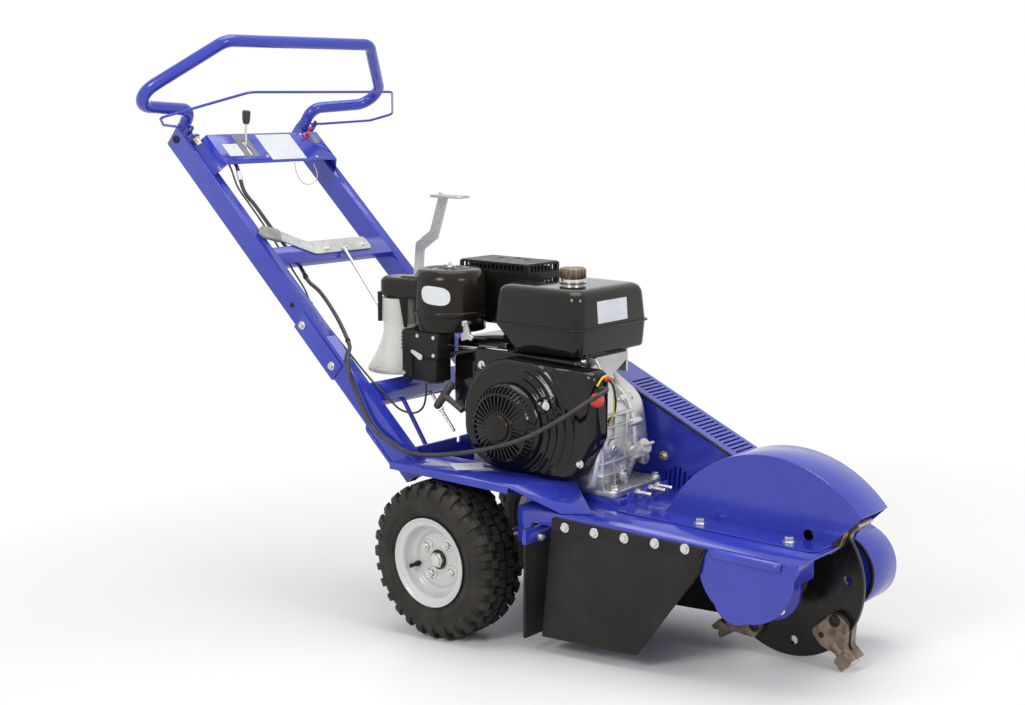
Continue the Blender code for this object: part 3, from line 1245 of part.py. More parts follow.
def fuel_tank():
    low = DECK_TOP + TANK_RISE
    seam = low + TANK_SEAM
    top = low + TANK_HEIGHT

    def ring(rear, around, corner):
        x = (TANK_X[0] + rear, TANK_X[1] - around)
        y = (TANK_Y[0] + around, TANK_Y[1] - around)
        return rounded([(x[0], y[0], corner), (x[1], y[0], corner), (x[1], y[1], corner),
                        (x[0], y[1], corner)])

    body = lofted([
        (ring(0.070, 0.014, 0.018), low), (ring(0.056, 0.008, 0.022), low + 0.005),
        (ring(0.004, 0.004, 0.024), seam), (ring(0.009, 0.009, 0.026), top - 0.022),
        (ring(0.013, 0.013, 0.025), top - 0.008), (ring(0.028, 0.028, 0.018), top),
    ])
    flange = plate_xy(ring(0, 0, 0.026), (seam - 0.003, seam + 0.003))
    neck = rod((CAP_X, CAP_Y, top - 0.004), (CAP_X, CAP_Y, top + NECK_HEIGHT), CAP_RADIUS - 0.005, 16)
    return part("fuel_tank", fuse(body, flange, neck), BLACK)


def fuel_cap():
    low = DECK_TOP + TANK_RISE + TANK_HEIGHT + NECK_HEIGHT + GAP
    body = softened(rod((CAP_X, CAP_Y, low), (CAP_X, CAP_Y, low + CAP_HEIGHT), CAP_RADIUS, 16), 0.002, 1)
    return part("fuel_cap", body, STEEL, (CAP_X, CAP_Y, low))


def air_cleaner():
    low = DECK_TOP + CLEANER_RISE
    radius = CLEANER_RADIUS
    high = CLEANER_HEIGHT
    profile = [(0, high), (radius * 0.80, high), (radius * 0.95, high - 0.012),
               (radius * 0.985, high - 0.022), (radius, 0.032), (radius, 0.026), (radius - 0.003, 0), (0, 0)]
    body = turned(profile, 24, Matrix.Translation((CLEANER_X, CLEANER_Y, low)))
    duct_low = BOWL_TOP + GAP
    hood = rod((BOWL_X, BOWL_Y, duct_low), (BOWL_X, BOWL_Y, duct_low + DUCT_HEIGHT),
               BOWL_RADIUS + 0.003, 24)
    link = box((BOWL_X, CLEANER_X - radius + 0.020), (BOWL_Y - 0.022, BOWL_Y + 0.030),
               (duct_low + 0.004, duct_low + DUCT_HEIGHT - 0.004))
    return part("air_cleaner", fuse(body, hood, link), BLACK)


def oval(x, y, half_length, half_width, steps=24):
    return [(x + half_length * cos(2 * pi * k / steps), y + half_width * sin(2 * pi * k / steps))
            for k in range(steps)]


def dust_bowl():
    """Bowl under the duct, round at its top and flared to a long oval foot."""
    low = BOWL_TOP - BOWL_HEIGHT
    foot = oval(BOWL_X + BOWL_FOOT_SHIFT[0], BOWL_Y + BOWL_FOOT_SHIFT[1], *BOWL_FOOT)
    waist = oval(BOWL_X, BOWL_Y, BOWL_WAIST_RADIUS, BOWL_WAIST_RADIUS)
    top = oval(BOWL_X, BOWL_Y, BOWL_RADIUS, BOWL_RADIUS)
    body = lofted([(foot, low), (foot, low + BOWL_FOOT_EDGE), (waist, low + BOWL_WAIST), (top, BOWL_TOP)])
    return part("dust_bowl", body, GLASSY)


def carburettor():
    high = DECK_TOP + CLEANER_RISE - GAP
    body = softened(box(CARB_X, CARB_Y, (CARB_LOW, high)), 0.006)
    return part("carburettor", body, BLACK)


def choke_lever():
    pivot = (CHOKE_X, CARB_Y[0] - GAP, CARB_LOW + CHOKE_RISE)
    y = (pivot[1] - 0.004, pivot[1])
    tip = (pivot[0] + CHOKE_REACH[0], pivot[2] + CHOKE_REACH[1])
    arm = plate_xz(hull((pivot[0], pivot[2]), 0.007, tip, 0.004, 8), y)
    return part("choke_lever", arm, ZINC, pivot)


def muffler():
    low = DECK_TOP + MUFFLER_RISE
    body = softened(box(MUFFLER_X, MUFFLER_Y, (low, low + MUFFLER_HEIGHT)), 0.020, 3)
    stub = box(STUB_X, STUB_Y, (BLOCK_TOP + HEAD_TOP + GAP, low + 0.025))
    return part("muffler", fuse(body, stub), BLACK)


def dipstick():
    start = DIPSTICK_SEAT + DIPSTICK_AXIS * GAP
    knob = rod(start, start + DIPSTICK_AXIS * DIPSTICK_HEIGHT, DIPSTICK_RADIUS, 12)
    return part("dipstick", knob, PLASTIC, start)


def engine_switch():
    start = (COVER_RIGHT + GAP, SWITCH_Y, DECK_TOP + SWITCH_RISE)
    end = (COVER_RIGHT + SWITCH_DEPTH, start[1], start[2])
    return part("engine_switch", softened(rod(start, end, SWITCH_RADIUS, 14), 0.002, 1), RED, start)


def starter_grip():
    centre = Vector((GRIP_X, GRIP_Y, GRIP_Z))
    across = Vector((PULL_AXIS.z * cos(GRIP_TWIST), sin(GRIP_TWIST), -PULL_AXIS.x * cos(GRIP_TWIST)))
    reach = across * GRIP_HALF
    bar = softened(rod(centre - reach, centre + reach, GRIP_RADIUS, 12), 0.003, 1)
    stem = rod(centre, centre - PULL_AXIS * GRIP_STEM, 0.0065, 12)
    return part("starter_grip", fuse(bar, stem), PLASTIC, centre)


# Wiring and cable, held along their whole length

def wiring():
    for name, route, spacing, radius in (("wiring_loom", LOOM_ROUTE, 0.030, LOOM_RADIUS),
                                         ("throttle_cable", CABLE_ROUTE, 0.022, CABLE_RADIUS)):
        path = smooth_path([(x, y, DECK_TOP + z) for x, y, z in route], spacing)
        part(name, tube(path, radius), PLASTIC)


# The machine

def build():
    for name, side in (("right", -1), ("left", 1)):
        rim("rim_" + name, side)
        tyre("tyre_" + name, side)
        leg("leg_" + name, side)
        lower_leg("lower_leg_" + name, side)
    axle()
    deck_plate()
    side_plate("side_plate_right", SIDE_RIGHT, TAB_X, DECK_FRONT, False)
    side_plate("side_plate_left", SIDE_LEFT, LEFT_TAB_X, DECK_LEFT_FRONT, True)
    fender("fender_right", -1, True)
    fender("fender_left", 1, False)
    flaps()
    members()
    console_panel()
    throttle_lever()
    toggle_switch()
    handle_bar()
    bail()
    bail_switch()
    lock_lever()
    lock_rod()
    strap_lever()
    bearing("bearing_right", SIDE_RIGHT[1] + GAP, 1, RIGHT_BEARING_DEPTH, RIGHT_BEARING_COLLAR)
    bearing("bearing_left", SIDE_LEFT[0] - GAP, -1, BEARING_DEPTH, None)
    part("cutter_pulley", pulley(CUTTER_X, CUTTER_Z, CUTTER_PULLEY_RADIUS, SHAFT_RADIUS + GAP), STEEL,
         (CUTTER_X, 0, CUTTER_Z))
    drive_belt()
    cutter_shaft()
    cutter_disc()
    for k in range(TEETH):
        tooth(k)
    cutter_hood()
    belt_guard()
    engine_block()
    fan_cover()
    recoil_housing()
    crankshaft()
    fuel_tank()
    fuel_cap()
    air_cleaner()
    dust_bowl()
    carburettor()
    choke_lever()
    muffler()
    dipstick()
    engine_switch()
    starter_grip()
    wiring()


build()
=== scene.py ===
"""Looks of a walk-behind stump grinder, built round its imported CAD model.

Metres. Most pieces are drawn in the machine's own frame, in which the deck lies level with its x counted
from the axle, or in the handle frame, whose s runs down the legs and whose n stands out of them. Both
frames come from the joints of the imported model, so every piece lands where the solids are.
"""
import json
from math import acos, asin, atan2, cos, degrees, hypot, pi, radians, sin, sqrt

import bmesh
import bpy
from mathutils import Matrix, Vector


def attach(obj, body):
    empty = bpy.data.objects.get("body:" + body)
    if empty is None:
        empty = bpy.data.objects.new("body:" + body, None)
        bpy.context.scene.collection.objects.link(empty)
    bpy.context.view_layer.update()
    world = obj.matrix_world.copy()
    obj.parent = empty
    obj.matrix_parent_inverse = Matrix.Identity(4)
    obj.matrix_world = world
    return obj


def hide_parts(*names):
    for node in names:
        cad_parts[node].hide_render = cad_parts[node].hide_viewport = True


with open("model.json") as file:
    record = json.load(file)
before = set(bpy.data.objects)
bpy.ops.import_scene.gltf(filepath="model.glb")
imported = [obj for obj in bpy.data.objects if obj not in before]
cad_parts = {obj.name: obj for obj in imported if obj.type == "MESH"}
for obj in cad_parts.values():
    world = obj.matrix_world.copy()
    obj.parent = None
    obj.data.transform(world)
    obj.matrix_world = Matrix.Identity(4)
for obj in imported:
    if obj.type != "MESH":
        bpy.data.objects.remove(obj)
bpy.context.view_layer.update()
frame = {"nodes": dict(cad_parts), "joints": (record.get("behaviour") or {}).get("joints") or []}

# Frames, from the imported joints
JOINTS = {joint["name"]: joint for joint in frame["joints"]}
LOCK_PIVOT = (0.27, 0.096, 0.0543)
AXLE = Vector(JOINTS["wheel_right_spin"]["pos_m"])
UP = Vector(JOINTS["fuel_cap_turn"]["axis"])
GROUND = Matrix.Translation((AXLE.x, 0, 0))
CHASSIS = (Matrix.Translation((AXLE.x, 0, AXLE.z)) @ Matrix.Rotation(atan2(UP.x, UP.z), 4, "Y")
           @ Matrix.Translation((0, 0, -AXLE.z)))


def handle_frame():
    """Matrix of the handle frame: columns s, y and n, with the place that the lock lever's pivot gives."""
    along = Vector(JOINTS["bail_switch_slide"]["axis"])
    out = Vector(JOINTS["lock_swing"]["axis"])
    side = Vector((0, 1, 0))
    pivot = Vector(JOINTS["lock_swing"]["pos_m"])
    origin = pivot - along * LOCK_PIVOT[0] - side * LOCK_PIVOT[1] - out * LOCK_PIVOT[2]
    matrix = Matrix((along, side, out)).transposed().to_4x4()
    matrix.translation = origin
    return matrix


LEG = handle_frame()

# Camera and stage
CAMERA_PLACE = (2.0915, -2.4916, 1.1201)
CAMERA_AZIMUTH = radians(39.886)
CAMERA_DOWN = radians(9.632)
LENS = 54.45
FLOOR_SIZE = 60.0
FLOOR_FADE = (0.55, 1.9)         # distances between which the floor turns white
SURROUND_LIGHT = 0.42            # what the white surround gives to surfaces that don't mirror it
LAMPS = (
    ("top", (0.2, 0.3, 4.2), (0.0, 0.0, 0.4), 3.6, 95),
    ("key", (0.4, -3.6, 2.6), (0.1, 0.0, 0.5), 1.4, 62),
    ("front", (3.6, -0.6, 2.0), (0.2, 0.0, 0.4), 1.2, 34),
)


# Materials

def nodes_of(name):
    """A new material with its node tree and its main shader."""
    mat = bpy.data.materials.new(name)
    mat.use_nodes = True
    tree = mat.node_tree
    return mat, tree, tree.nodes["Principled BSDF"]


def noise(tree, scale, detail=3.0, stretch=None):
    """Noise in the piece's own coordinates, optionally stretched along an axis."""
    coords = tree.nodes.new("ShaderNodeTexCoord")
    texture = tree.nodes.new("ShaderNodeTexNoise")
    texture.inputs["Scale"].default_value = scale
    texture.inputs["Detail"].default_value = detail
    source = coords.outputs["Object"]
    if stretch:
        mapping = tree.nodes.new("ShaderNodeMapping")
        mapping.inputs["Scale"].default_value = stretch
        tree.links.new(source, mapping.inputs["Vector"])
        source = mapping.outputs["Vector"]
    tree.links.new(source, texture.inputs["Vector"])
    return texture.outputs["Fac"]


def ranged(tree, value, low, high, start=0.35, end=0.65):
    """A value mapped from one range to another."""
    node = tree.nodes.new("ShaderNodeMapRange")
    node.inputs["From Min"].default_value = start
    node.inputs["From Max"].default_value = end
    node.inputs["To Min"].default_value = low
    node.inputs["To Max"].default_value = high
    tree.links.new(value, node.inputs["Value"])
    return node.outputs["Result"]


def mixed(tree, share, first, second):
    """Mix of two colours, each a triple or the output of another mix."""
    node = tree.nodes.new("ShaderNodeMix")
    node.data_type = "RGBA"
    tree.links.new(share, node.inputs[0])
    for socket, value in ((node.inputs[6], first), (node.inputs[7], second)):
        if isinstance(value, tuple):
            socket.default_value = (*value, 1.0)
        else:
            tree.links.new(value, socket)
    return node.outputs[2]


def computed(tree, operation, first, second):
    """Result of a sum on two outputs."""
    node = tree.nodes.new("ShaderNodeMath")
    node.operation = operation
    tree.links.new(first, node.inputs[0])
    tree.links.new(second, node.inputs[1])
    return node.outputs[0]


def upward(tree):
    """How far a surface faces up, from 0 to 1."""
    geometry = tree.nodes.new("ShaderNodeNewGeometry")
    split = tree.nodes.new("ShaderNodeSeparateXYZ")
    tree.links.new(geometry.outputs["Normal"], split.inputs[0])
    return ranged(tree, split.outputs["Z"], 0.0, 1.0, 0.2, 1.0)


def bumped(tree, shader, value, strength, distance):
    """Relief on a shader from a value."""
    node = tree.nodes.new("ShaderNodeBump")
    node.inputs["Strength"].default_value = strength
    node.inputs["Distance"].default_value = distance
    tree.links.new(value, node.inputs["Height"])
    tree.links.new(node.outputs["Normal"], shader.inputs["Normal"])


def finish(name, color, second, roughness, metallic=0.0, mottle=7.0, grain=500.0, bump=0.08, coat=0.0,
           dust=0.0, dust_color=(0.45, 0.42, 0.38), stretch=None, specular=0.5):
    """A surface that wanders between two colours, with grain in its gloss and relief and dust on top."""
    mat, tree, shader = nodes_of(name)
    color_out = mixed(tree, ranged(tree, noise(tree, mottle, 4.0, stretch), 0.0, 1.0), color, second)
    if dust:
        patches = ranged(tree, noise(tree, 11.0, 6.0), 0.0, dust, 0.4, 0.75)
        settled = computed(tree, "MULTIPLY", patches, upward(tree))
        color_out = mixed(tree, settled, color_out, dust_color)
    tree.links.new(color_out, shader.inputs["Base Color"])
    spread = noise(tree, mottle * 5, 5.0, stretch)
    tree.links.new(ranged(tree, spread, roughness * 0.8, roughness * 1.25), shader.inputs["Roughness"])
    shader.inputs["Metallic"].default_value = metallic
    shader.inputs["Coat Weight"].default_value = coat
    shader.inputs["Coat Roughness"].default_value = 0.06
    shader.inputs["Specular IOR Level"].default_value = specular
    bumped(tree, shader, noise(tree, grain, 2.0, stretch), bump, 0.001)
    return mat


def clear_bowl():
    """Milky clear moulding with a faint wave in its wall."""
    mat, tree, shader = nodes_of("clear_bowl")
    shade = ranged(tree, noise(tree, 9.0, 2.0), 0.0, 1.0)
    tree.links.new(mixed(tree, shade, (0.93, 0.92, 0.86), (0.98, 0.97, 0.93)), shader.inputs["Base Color"])
    shader.inputs["Roughness"].default_value = 0.16
    shader.inputs["IOR"].default_value = 1.3
    shader.inputs["Transmission Weight"].default_value = 0.55
    bumped(tree, shader, noise(tree, 60.0, 1.0), 0.05, 0.001)
    return mat


def pleated_filter():
    """Fine mesh over a pale filter cartridge."""
    mat, tree, shader = nodes_of("filter_mesh")
    coords = tree.nodes.new("ShaderNodeTexCoord")
    bricks = tree.nodes.new("ShaderNodeTexBrick")
    bricks.offset = 0.0
    bricks.inputs["Scale"].default_value = 90.0
    bricks.inputs["Mortar Size"].default_value = 0.03
    bricks.inputs["Color1"].default_value = (0.62, 0.58, 0.55, 1)
    bricks.inputs["Color2"].default_value = (0.55, 0.51, 0.48, 1)
    bricks.inputs["Mortar"].default_value = (0.3, 0.28, 0.27, 1)
    mapping = tree.nodes.new("ShaderNodeMapping")
    mapping.inputs["Rotation"].default_value = (pi / 2, 0, 0)
    tree.links.new(coords.outputs["Object"], mapping.inputs["Vector"])
    tree.links.new(mapping.outputs["Vector"], bricks.inputs["Vector"])
    tree.links.new(bricks.outputs["Color"], shader.inputs["Base Color"])
    shader.inputs["Roughness"].default_value = 0.7
    bumped(tree, shader, bricks.outputs["Fac"], 0.3, 0.001)
    return mat


BLUE = finish("blue_paint", (0.022, 0.034, 0.36), (0.028, 0.044, 0.42), 0.16, grain=900.0, bump=0.03,
              coat=0.25, dust=0.03)
RIM_GREY = finish("rim_paint", (0.62, 0.61, 0.6), (0.56, 0.55, 0.54), 0.22, grain=700.0, bump=0.03, coat=0.3)
TYRE = finish("tyre_rubber", (0.016, 0.014, 0.012), (0.034, 0.03, 0.025), 0.55, mottle=16.0, grain=320.0,
              bump=0.3, dust=0.3, dust_color=(0.14, 0.12, 0.1), specular=0.25)
FLAP = finish("flap_rubber", (0.012, 0.011, 0.01), (0.022, 0.02, 0.018), 0.42, mottle=9.0, grain=420.0,
              bump=0.22, dust=0.08, specular=0.22)
BLACK = finish("black_enamel", (0.005, 0.004, 0.003), (0.009, 0.007, 0.005), 0.06, mottle=5.0, grain=500.0,
               bump=0.02, specular=0.36)
SHELL = finish("black_shell", (0.01, 0.008, 0.006), (0.016, 0.012, 0.009), 0.18, mottle=5.0, grain=700.0,
               bump=0.05, specular=0.24)
PLASTIC = finish("black_plastic", (0.01, 0.009, 0.008), (0.018, 0.016, 0.015), 0.38, mottle=12.0,
                 grain=600.0, bump=0.18, specular=0.22)
HEAT = finish("heat_black", (0.008, 0.007, 0.006), (0.016, 0.014, 0.012), 0.34, mottle=10.0, grain=300.0,
              bump=0.2, dust=0.03, specular=0.25)
ALLOY = finish("cast_aluminium", (0.56, 0.56, 0.55), (0.68, 0.68, 0.67), 0.34, 0.85, mottle=18.0,
               grain=420.0, bump=0.45, dust=0.05)
ZINC = finish("zinc", (0.6, 0.6, 0.58), (0.72, 0.71, 0.68), 0.26, 0.95, mottle=40.0, grain=500.0, bump=0.1)
GOLD_ZINC = finish("yellow_zinc", (0.62, 0.5, 0.26), (0.7, 0.62, 0.42), 0.28, 0.95, mottle=60.0,
                   grain=500.0, bump=0.1)
BROWN = finish("brown_steel", (0.13, 0.095, 0.065), (0.27, 0.21, 0.155), 0.34, 0.7, mottle=45.0, grain=260.0,
               bump=0.35)
CARBIDE = finish("carbide", (0.5, 0.47, 0.43), (0.64, 0.61, 0.57), 0.26, 0.8, mottle=80.0, grain=400.0,
                 bump=0.15)
RED = finish("red_plastic", (0.62, 0.03, 0.02), (0.72, 0.055, 0.035), 0.3, mottle=30.0, grain=500.0,
             bump=0.06, coat=0.2)
YELLOW = finish("yellow_wire", (0.75, 0.62, 0.04), (0.8, 0.68, 0.08), 0.4, mottle=30.0, bump=0.04)
PALE = finish("pale_plate", (0.66, 0.68, 0.7), (0.72, 0.74, 0.76), 0.3, mottle=20.0, grain=300.0, bump=0.05)
GREY_PLATE = finish("grey_plate", (0.16, 0.17, 0.19), (0.21, 0.22, 0.24), 0.34, mottle=20.0, bump=0.05)
KNOB = finish("grey_knob", (0.5, 0.48, 0.45), (0.6, 0.58, 0.55), 0.35, mottle=25.0, grain=400.0, bump=0.12)
CAP_BROWN = finish("cap_metal", (0.13, 0.09, 0.06), (0.27, 0.2, 0.14), 0.28, 0.75, mottle=50.0, bump=0.12)
BRASS = finish("brass", (0.66, 0.55, 0.33), (0.74, 0.66, 0.46), 0.26, 0.9, mottle=40.0, grain=500.0, bump=0.1)
DULL_ZINC = finish("dull_zinc", (0.42, 0.42, 0.42), (0.54, 0.54, 0.53), 0.34, 0.85, mottle=14.0, grain=380.0,
                   bump=0.14, dust=0.06)
WORN_GRIP = finish("worn_grip", (0.2, 0.2, 0.19), (0.34, 0.34, 0.32), 0.48, 0.2, mottle=30.0, grain=300.0,
                   bump=0.3)
KNOB_BLACK = finish("knob_black", (0.022, 0.021, 0.02), (0.04, 0.038, 0.036), 0.45, mottle=30.0, grain=500.0,
                    bump=0.25)
GRIP_BLACK = finish("grip_black", (0.02, 0.018, 0.017), (0.036, 0.033, 0.03), 0.5, mottle=30.0, grain=400.0,
                    bump=0.25)
RUBBER_HOSE = finish("hose_rubber", (0.014, 0.013, 0.012), (0.026, 0.024, 0.022), 0.4, mottle=40.0,
                     grain=400.0, bump=0.15)
LOOM_BLACK = finish("loom_sheath", (0.02, 0.019, 0.019), (0.04, 0.038, 0.036), 0.5, mottle=40.0, grain=300.0,
                    bump=0.22)
ORANGE = finish("orange_cap", (0.8, 0.24, 0.03), (0.86, 0.3, 0.05), 0.35, mottle=30.0, bump=0.04)
FOOT_GREY = finish("bowl_foot", (0.4, 0.4, 0.38), (0.48, 0.48, 0.46), 0.4, mottle=25.0, bump=0.06)
CREAM = finish("cream_wire", (0.7, 0.68, 0.42), (0.78, 0.76, 0.55), 0.4, mottle=30.0, bump=0.04)
DISC = finish("disc_steel", (0.008, 0.007, 0.006), (0.02, 0.017, 0.014), 0.22, 0.35, mottle=14.0,
              grain=220.0, bump=0.18, specular=0.4)
BOWL = clear_bowl()
MESH = pleated_filter()


# Shapes, and the directions in which they face

TO_FRONT = (1, 0, 0)
TO_LEFT = (0, 1, 0)
TO_RIGHT = (0, -1, 0)
TO_TOP = (0, 0, 1)


def new_object(mesh):
    """A linked work object round a mesh."""
    obj = bpy.data.objects.new("work", mesh)
    bpy.context.scene.collection.objects.link(obj)
    return obj


def from_bmesh(bm):
    """A work object from a mesh in the making, with its faces turned outward."""
    bmesh.ops.recalc_face_normals(bm, faces=bm.faces)
    mesh = bpy.data.meshes.new("work")
    bm.to_mesh(mesh)
    bm.free()
    return new_object(mesh)


def applied(obj):
    """The object's evaluated mesh as a new object in place of the old one."""
    bpy.context.view_layer.update()
    graph = bpy.context.evaluated_depsgraph_get()
    mesh = bpy.data.meshes.new_from_object(obj.evaluated_get(graph))
    mesh.transform(obj.matrix_world)
    bpy.data.objects.remove(obj, do_unlink=True)
    return new_object(mesh)


def joined(*objects):
    """One mesh object from several."""
    bm = bmesh.new()
    for obj in objects:
        bm.from_mesh(obj.data)
        bpy.data.objects.remove(obj, do_unlink=True)
    mesh = bpy.data.meshes.new("work")
    bm.to_mesh(mesh)
    bm.free()
    return new_object(mesh)


def moved(obj, matrix):
    """The object, its mesh moved by a matrix."""
    obj.data.transform(matrix)
    return obj


def block(x, y, z, edge=0.001, segments=2):
    """Box with rounded edges."""
    bm = bmesh.new()
    size = (x[1] - x[0], y[1] - y[0], z[1] - z[0])
    centre = ((x[0] + x[1]) / 2, (y[0] + y[1]) / 2, (z[0] + z[1]) / 2)
    bmesh.ops.create_cube(bm, size=1.0, matrix=Matrix.Translation(centre) @ Matrix.Diagonal((*size, 1)))
    width = min(edge, min(size) * 0.45)
    bmesh.ops.bevel(bm, geom=bm.edges[:], offset=width, segments=segments, profile=0.5, affect="EDGES")
    return from_bmesh(bm)


def turned(profile, steps, place):
    """A profile of (radius, height) points turned about an upright axis and placed by a matrix."""
    bm = bmesh.new()
    rings = []
    for radius, height in profile:
        if radius < 1e-6:
            rings.append([bm.verts.new((0, 0, height))] * steps)
            continue
        angles = [2 * pi * k / steps for k in range(steps)]
        rings.append([bm.verts.new((radius * cos(angle), radius * sin(angle), height)) for angle in angles])
    for low, high in zip(rings, rings[1:]):
        for k in range(steps):
            face = [low[k - 1], low[k], high[k], high[k - 1]]
            corners = list(dict.fromkeys(face))
            if len(corners) > 2:
                bm.faces.new(corners)
    return moved(from_bmesh(bm), place)


def all_moved(shapes, matrix):
    """The objects, each moved by a matrix."""
    for shape in shapes:
        moved(shape, matrix)
    return shapes


def aim(start, direction):
    """Matrix that puts an upright shape at a place, with its top towards a direction."""
    turn = Vector(direction).normalized().to_track_quat("Z", "Y").to_matrix().to_4x4()
    return Matrix.Translation(Vector(start)) @ turn


def rod(start, end, radius, sides=24, edge=0.0008, end_radius=None):
    """Round bar with softened ends."""
    length = (Vector(end) - Vector(start)).length
    top = radius if end_radius is None else end_radius
    soft = min(edge, radius * 0.4, length * 0.4)
    profile = [(0, 0), (radius - soft, 0), (radius - soft * 0.3, soft * 0.3), (radius, soft),
               (top, length - soft), (top - soft * 0.3, length - soft * 0.3), (top - soft, length),
               (0, length)]
    return turned(profile, sides, aim(start, Vector(end) - Vector(start)))


def hexagon(start, direction, across, height, chamfer=0.12):
    """Hexagonal nut or bolt head with chamfered corners."""
    radius = across / sqrt(3)
    soft = radius * chamfer
    profile = [(0, 0), (radius, 0), (radius, height - soft), (radius - soft, height), (0, height)]
    return turned(profile, 6, aim(start, direction))


def bolt(start, direction, across, washer=True):
    """Hex bolt head, on a washer unless told otherwise."""
    pieces = []
    out = Vector(direction).normalized()
    base = Vector(start)
    if washer:
        pieces.append(rod(base, base + out * across * 0.13, across * 0.86, 28, across * 0.05))
        base = base + out * across * 0.12
    pieces.append(hexagon(base, direction, across, across * 0.55))
    return joined(*pieces)


def screw_head(start, direction, radius, height):
    """Round screw head with a recess in its top."""
    soft = radius * 0.15
    profile = [(0, height * 0.45), (radius * 0.5, height * 0.45), (radius * 0.55, height),
               (radius - soft, height), (radius, height - soft), (radius, 0), (0, 0)]
    return turned(profile, 24, aim(start, direction))


THREAD_PITCH = 0.0018
THREAD_RING = 0.0009


def thread(start, along, first, count, radius):
    """Rings of a screw thread that begins at a distance along a stud."""
    rings = []
    for k in range(count):
        ring = start + along * (first + THREAD_PITCH * k)
        rings.append(rod(ring, ring + along * THREAD_RING, radius, 12, 0.0002))
    return rings


def tube(path, radius, resolution=4):
    """Round tube along points, closed at its ends."""
    curve = bpy.data.curves.new("work", "CURVE")
    curve.dimensions = "3D"
    curve.bevel_depth = radius
    curve.bevel_resolution = resolution
    curve.use_fill_caps = True
    spline = curve.splines.new("POLY")
    spline.points.add(len(path) - 1)
    for point, co in zip(spline.points, path):
        point.co = (*co, 1)
    obj = bpy.data.objects.new("work", curve)
    bpy.context.scene.collection.objects.link(obj)
    return applied(obj)


SIDEWAYS = Matrix(((1, 0, 0, 0), (0, 0, 1, 0), (0, 1, 0, 0), (0, 0, 0, 1)))
ACROSS = Matrix(((0, 0, 1, 0), (1, 0, 0, 0), (0, 1, 0, 0), (0, 0, 0, 1)))
LEVEL = Matrix.Identity(4)


def slab(outline, depth, turn=LEVEL, holes=(), edge=0.0006, steps=1):
    """Flat plate from an outline with holes, with rounded edges, between two depths along its normal."""
    low, high = depth
    soft = min(edge, (high - low) * 0.4)
    curve = bpy.data.curves.new("work", "CURVE")
    curve.dimensions = "2D"
    curve.fill_mode = "BOTH"
    curve.extrude = (high - low) / 2 - soft
    curve.bevel_depth = soft
    curve.bevel_resolution = steps
    curve.offset = -soft
    for loop in (outline, *holes):
        spline = curve.splines.new("POLY")
        spline.points.add(len(loop) - 1)
        for point, (u, v) in zip(spline.points, loop):
            point.co = (u, v, 0, 1)
        spline.use_cyclic_u = True
    obj = bpy.data.objects.new("work", curve)
    bpy.context.scene.collection.objects.link(obj)
    obj.matrix_world = turn @ Matrix.Translation((0, 0, (low + high) / 2))
    return applied(obj)


def lofted(sections, place=LEVEL):
    """Closed solid through outlines of equal point counts, each with its height."""
    bm = bmesh.new()
    rings = [[bm.verts.new((x, y, z)) for x, y in outline] for outline, z in sections]
    for low, high in zip(rings, rings[1:]):
        for k in range(len(low)):
            bm.faces.new((low[k - 1], low[k], high[k], high[k - 1]))
    bm.faces.new(rings[0][::-1])
    bm.faces.new(rings[-1])
    return moved(from_bmesh(bm), place)


def arc(centre, radius, start, end, steps):
    """Points on a circle from one angle to another, in degrees."""
    angles = [radians(start + (end - start) * k / steps) for k in range(steps + 1)]
    return [(centre[0] + radius * cos(a), centre[1] + radius * sin(a)) for a in angles]


def circle(centre, radius, steps=32):
    """Closed outline of a circle."""
    return arc(centre, radius, 0, 360, steps)[:-1]


def hull(first, first_radius, second, second_radius, steps):
    """Outline of the belt-like shape round two circles."""
    along = degrees(atan2(second[1] - first[1], second[0] - first[0]))
    reach = hypot(second[0] - first[0], second[1] - first[1])
    lean = degrees(acos((first_radius - second_radius) / reach))
    near = arc(first, first_radius, along + lean, along + 360 - lean, steps)
    return near + arc(second, second_radius, along - lean, along + lean, steps)


def fillet(here, before, after, radius, steps):
    """Points of the arc of a radius that rounds a corner, given the unit directions to its neighbours."""
    half = acos(max(-1.0, min(1.0, before.dot(after)))) / 2
    middle = (before + after).normalized()
    centre = here + middle * (radius / sin(half))
    spread = pi / 2 - half
    side = (before - middle * before.dot(middle)).normalized()
    points = []
    for k in range(steps + 1):
        angle = spread * (1 - 2 * k / steps)
        points.append(centre - middle * radius * cos(angle) + side * radius * sin(angle))
    return points


def rounded(corners, steps=6):
    """Closed outline whose corners (u, v, radius) are rounded with arcs."""
    outline = []
    count = len(corners)
    for k, (u, v, radius) in enumerate(corners):
        here = Vector((u, v))
        if radius == 0:
            outline.append((u, v))
            continue
        before = (Vector(corners[k - 1][:2]) - here).normalized()
        after = (Vector(corners[(k + 1) % count][:2]) - here).normalized()
        outline += [tuple(p) for p in fillet(here, before, after, radius, steps)]
    return outline


def rounded_box(u, v, radius, steps=6):
    """Closed outline of a rectangle with round corners."""
    corners = ((u[0], v[0]), (u[1], v[0]), (u[1], v[1]), (u[0], v[1]))
    return rounded([(*corner, radius) for corner in corners], steps)


def bent(points, radii, steps=10):
    """An open path through the points, with each inner corner rounded to its own radius."""
    path = [Vector(points[0])]
    for k, radius in zip(range(1, len(points) - 1), radii):
        here = Vector(points[k])
        before = (Vector(points[k - 1]) - here).normalized()
        after = (Vector(points[k + 1]) - here).normalized()
        path += fillet(here, before, after, radius, steps)
    path.append(Vector(points[-1]))
    return path


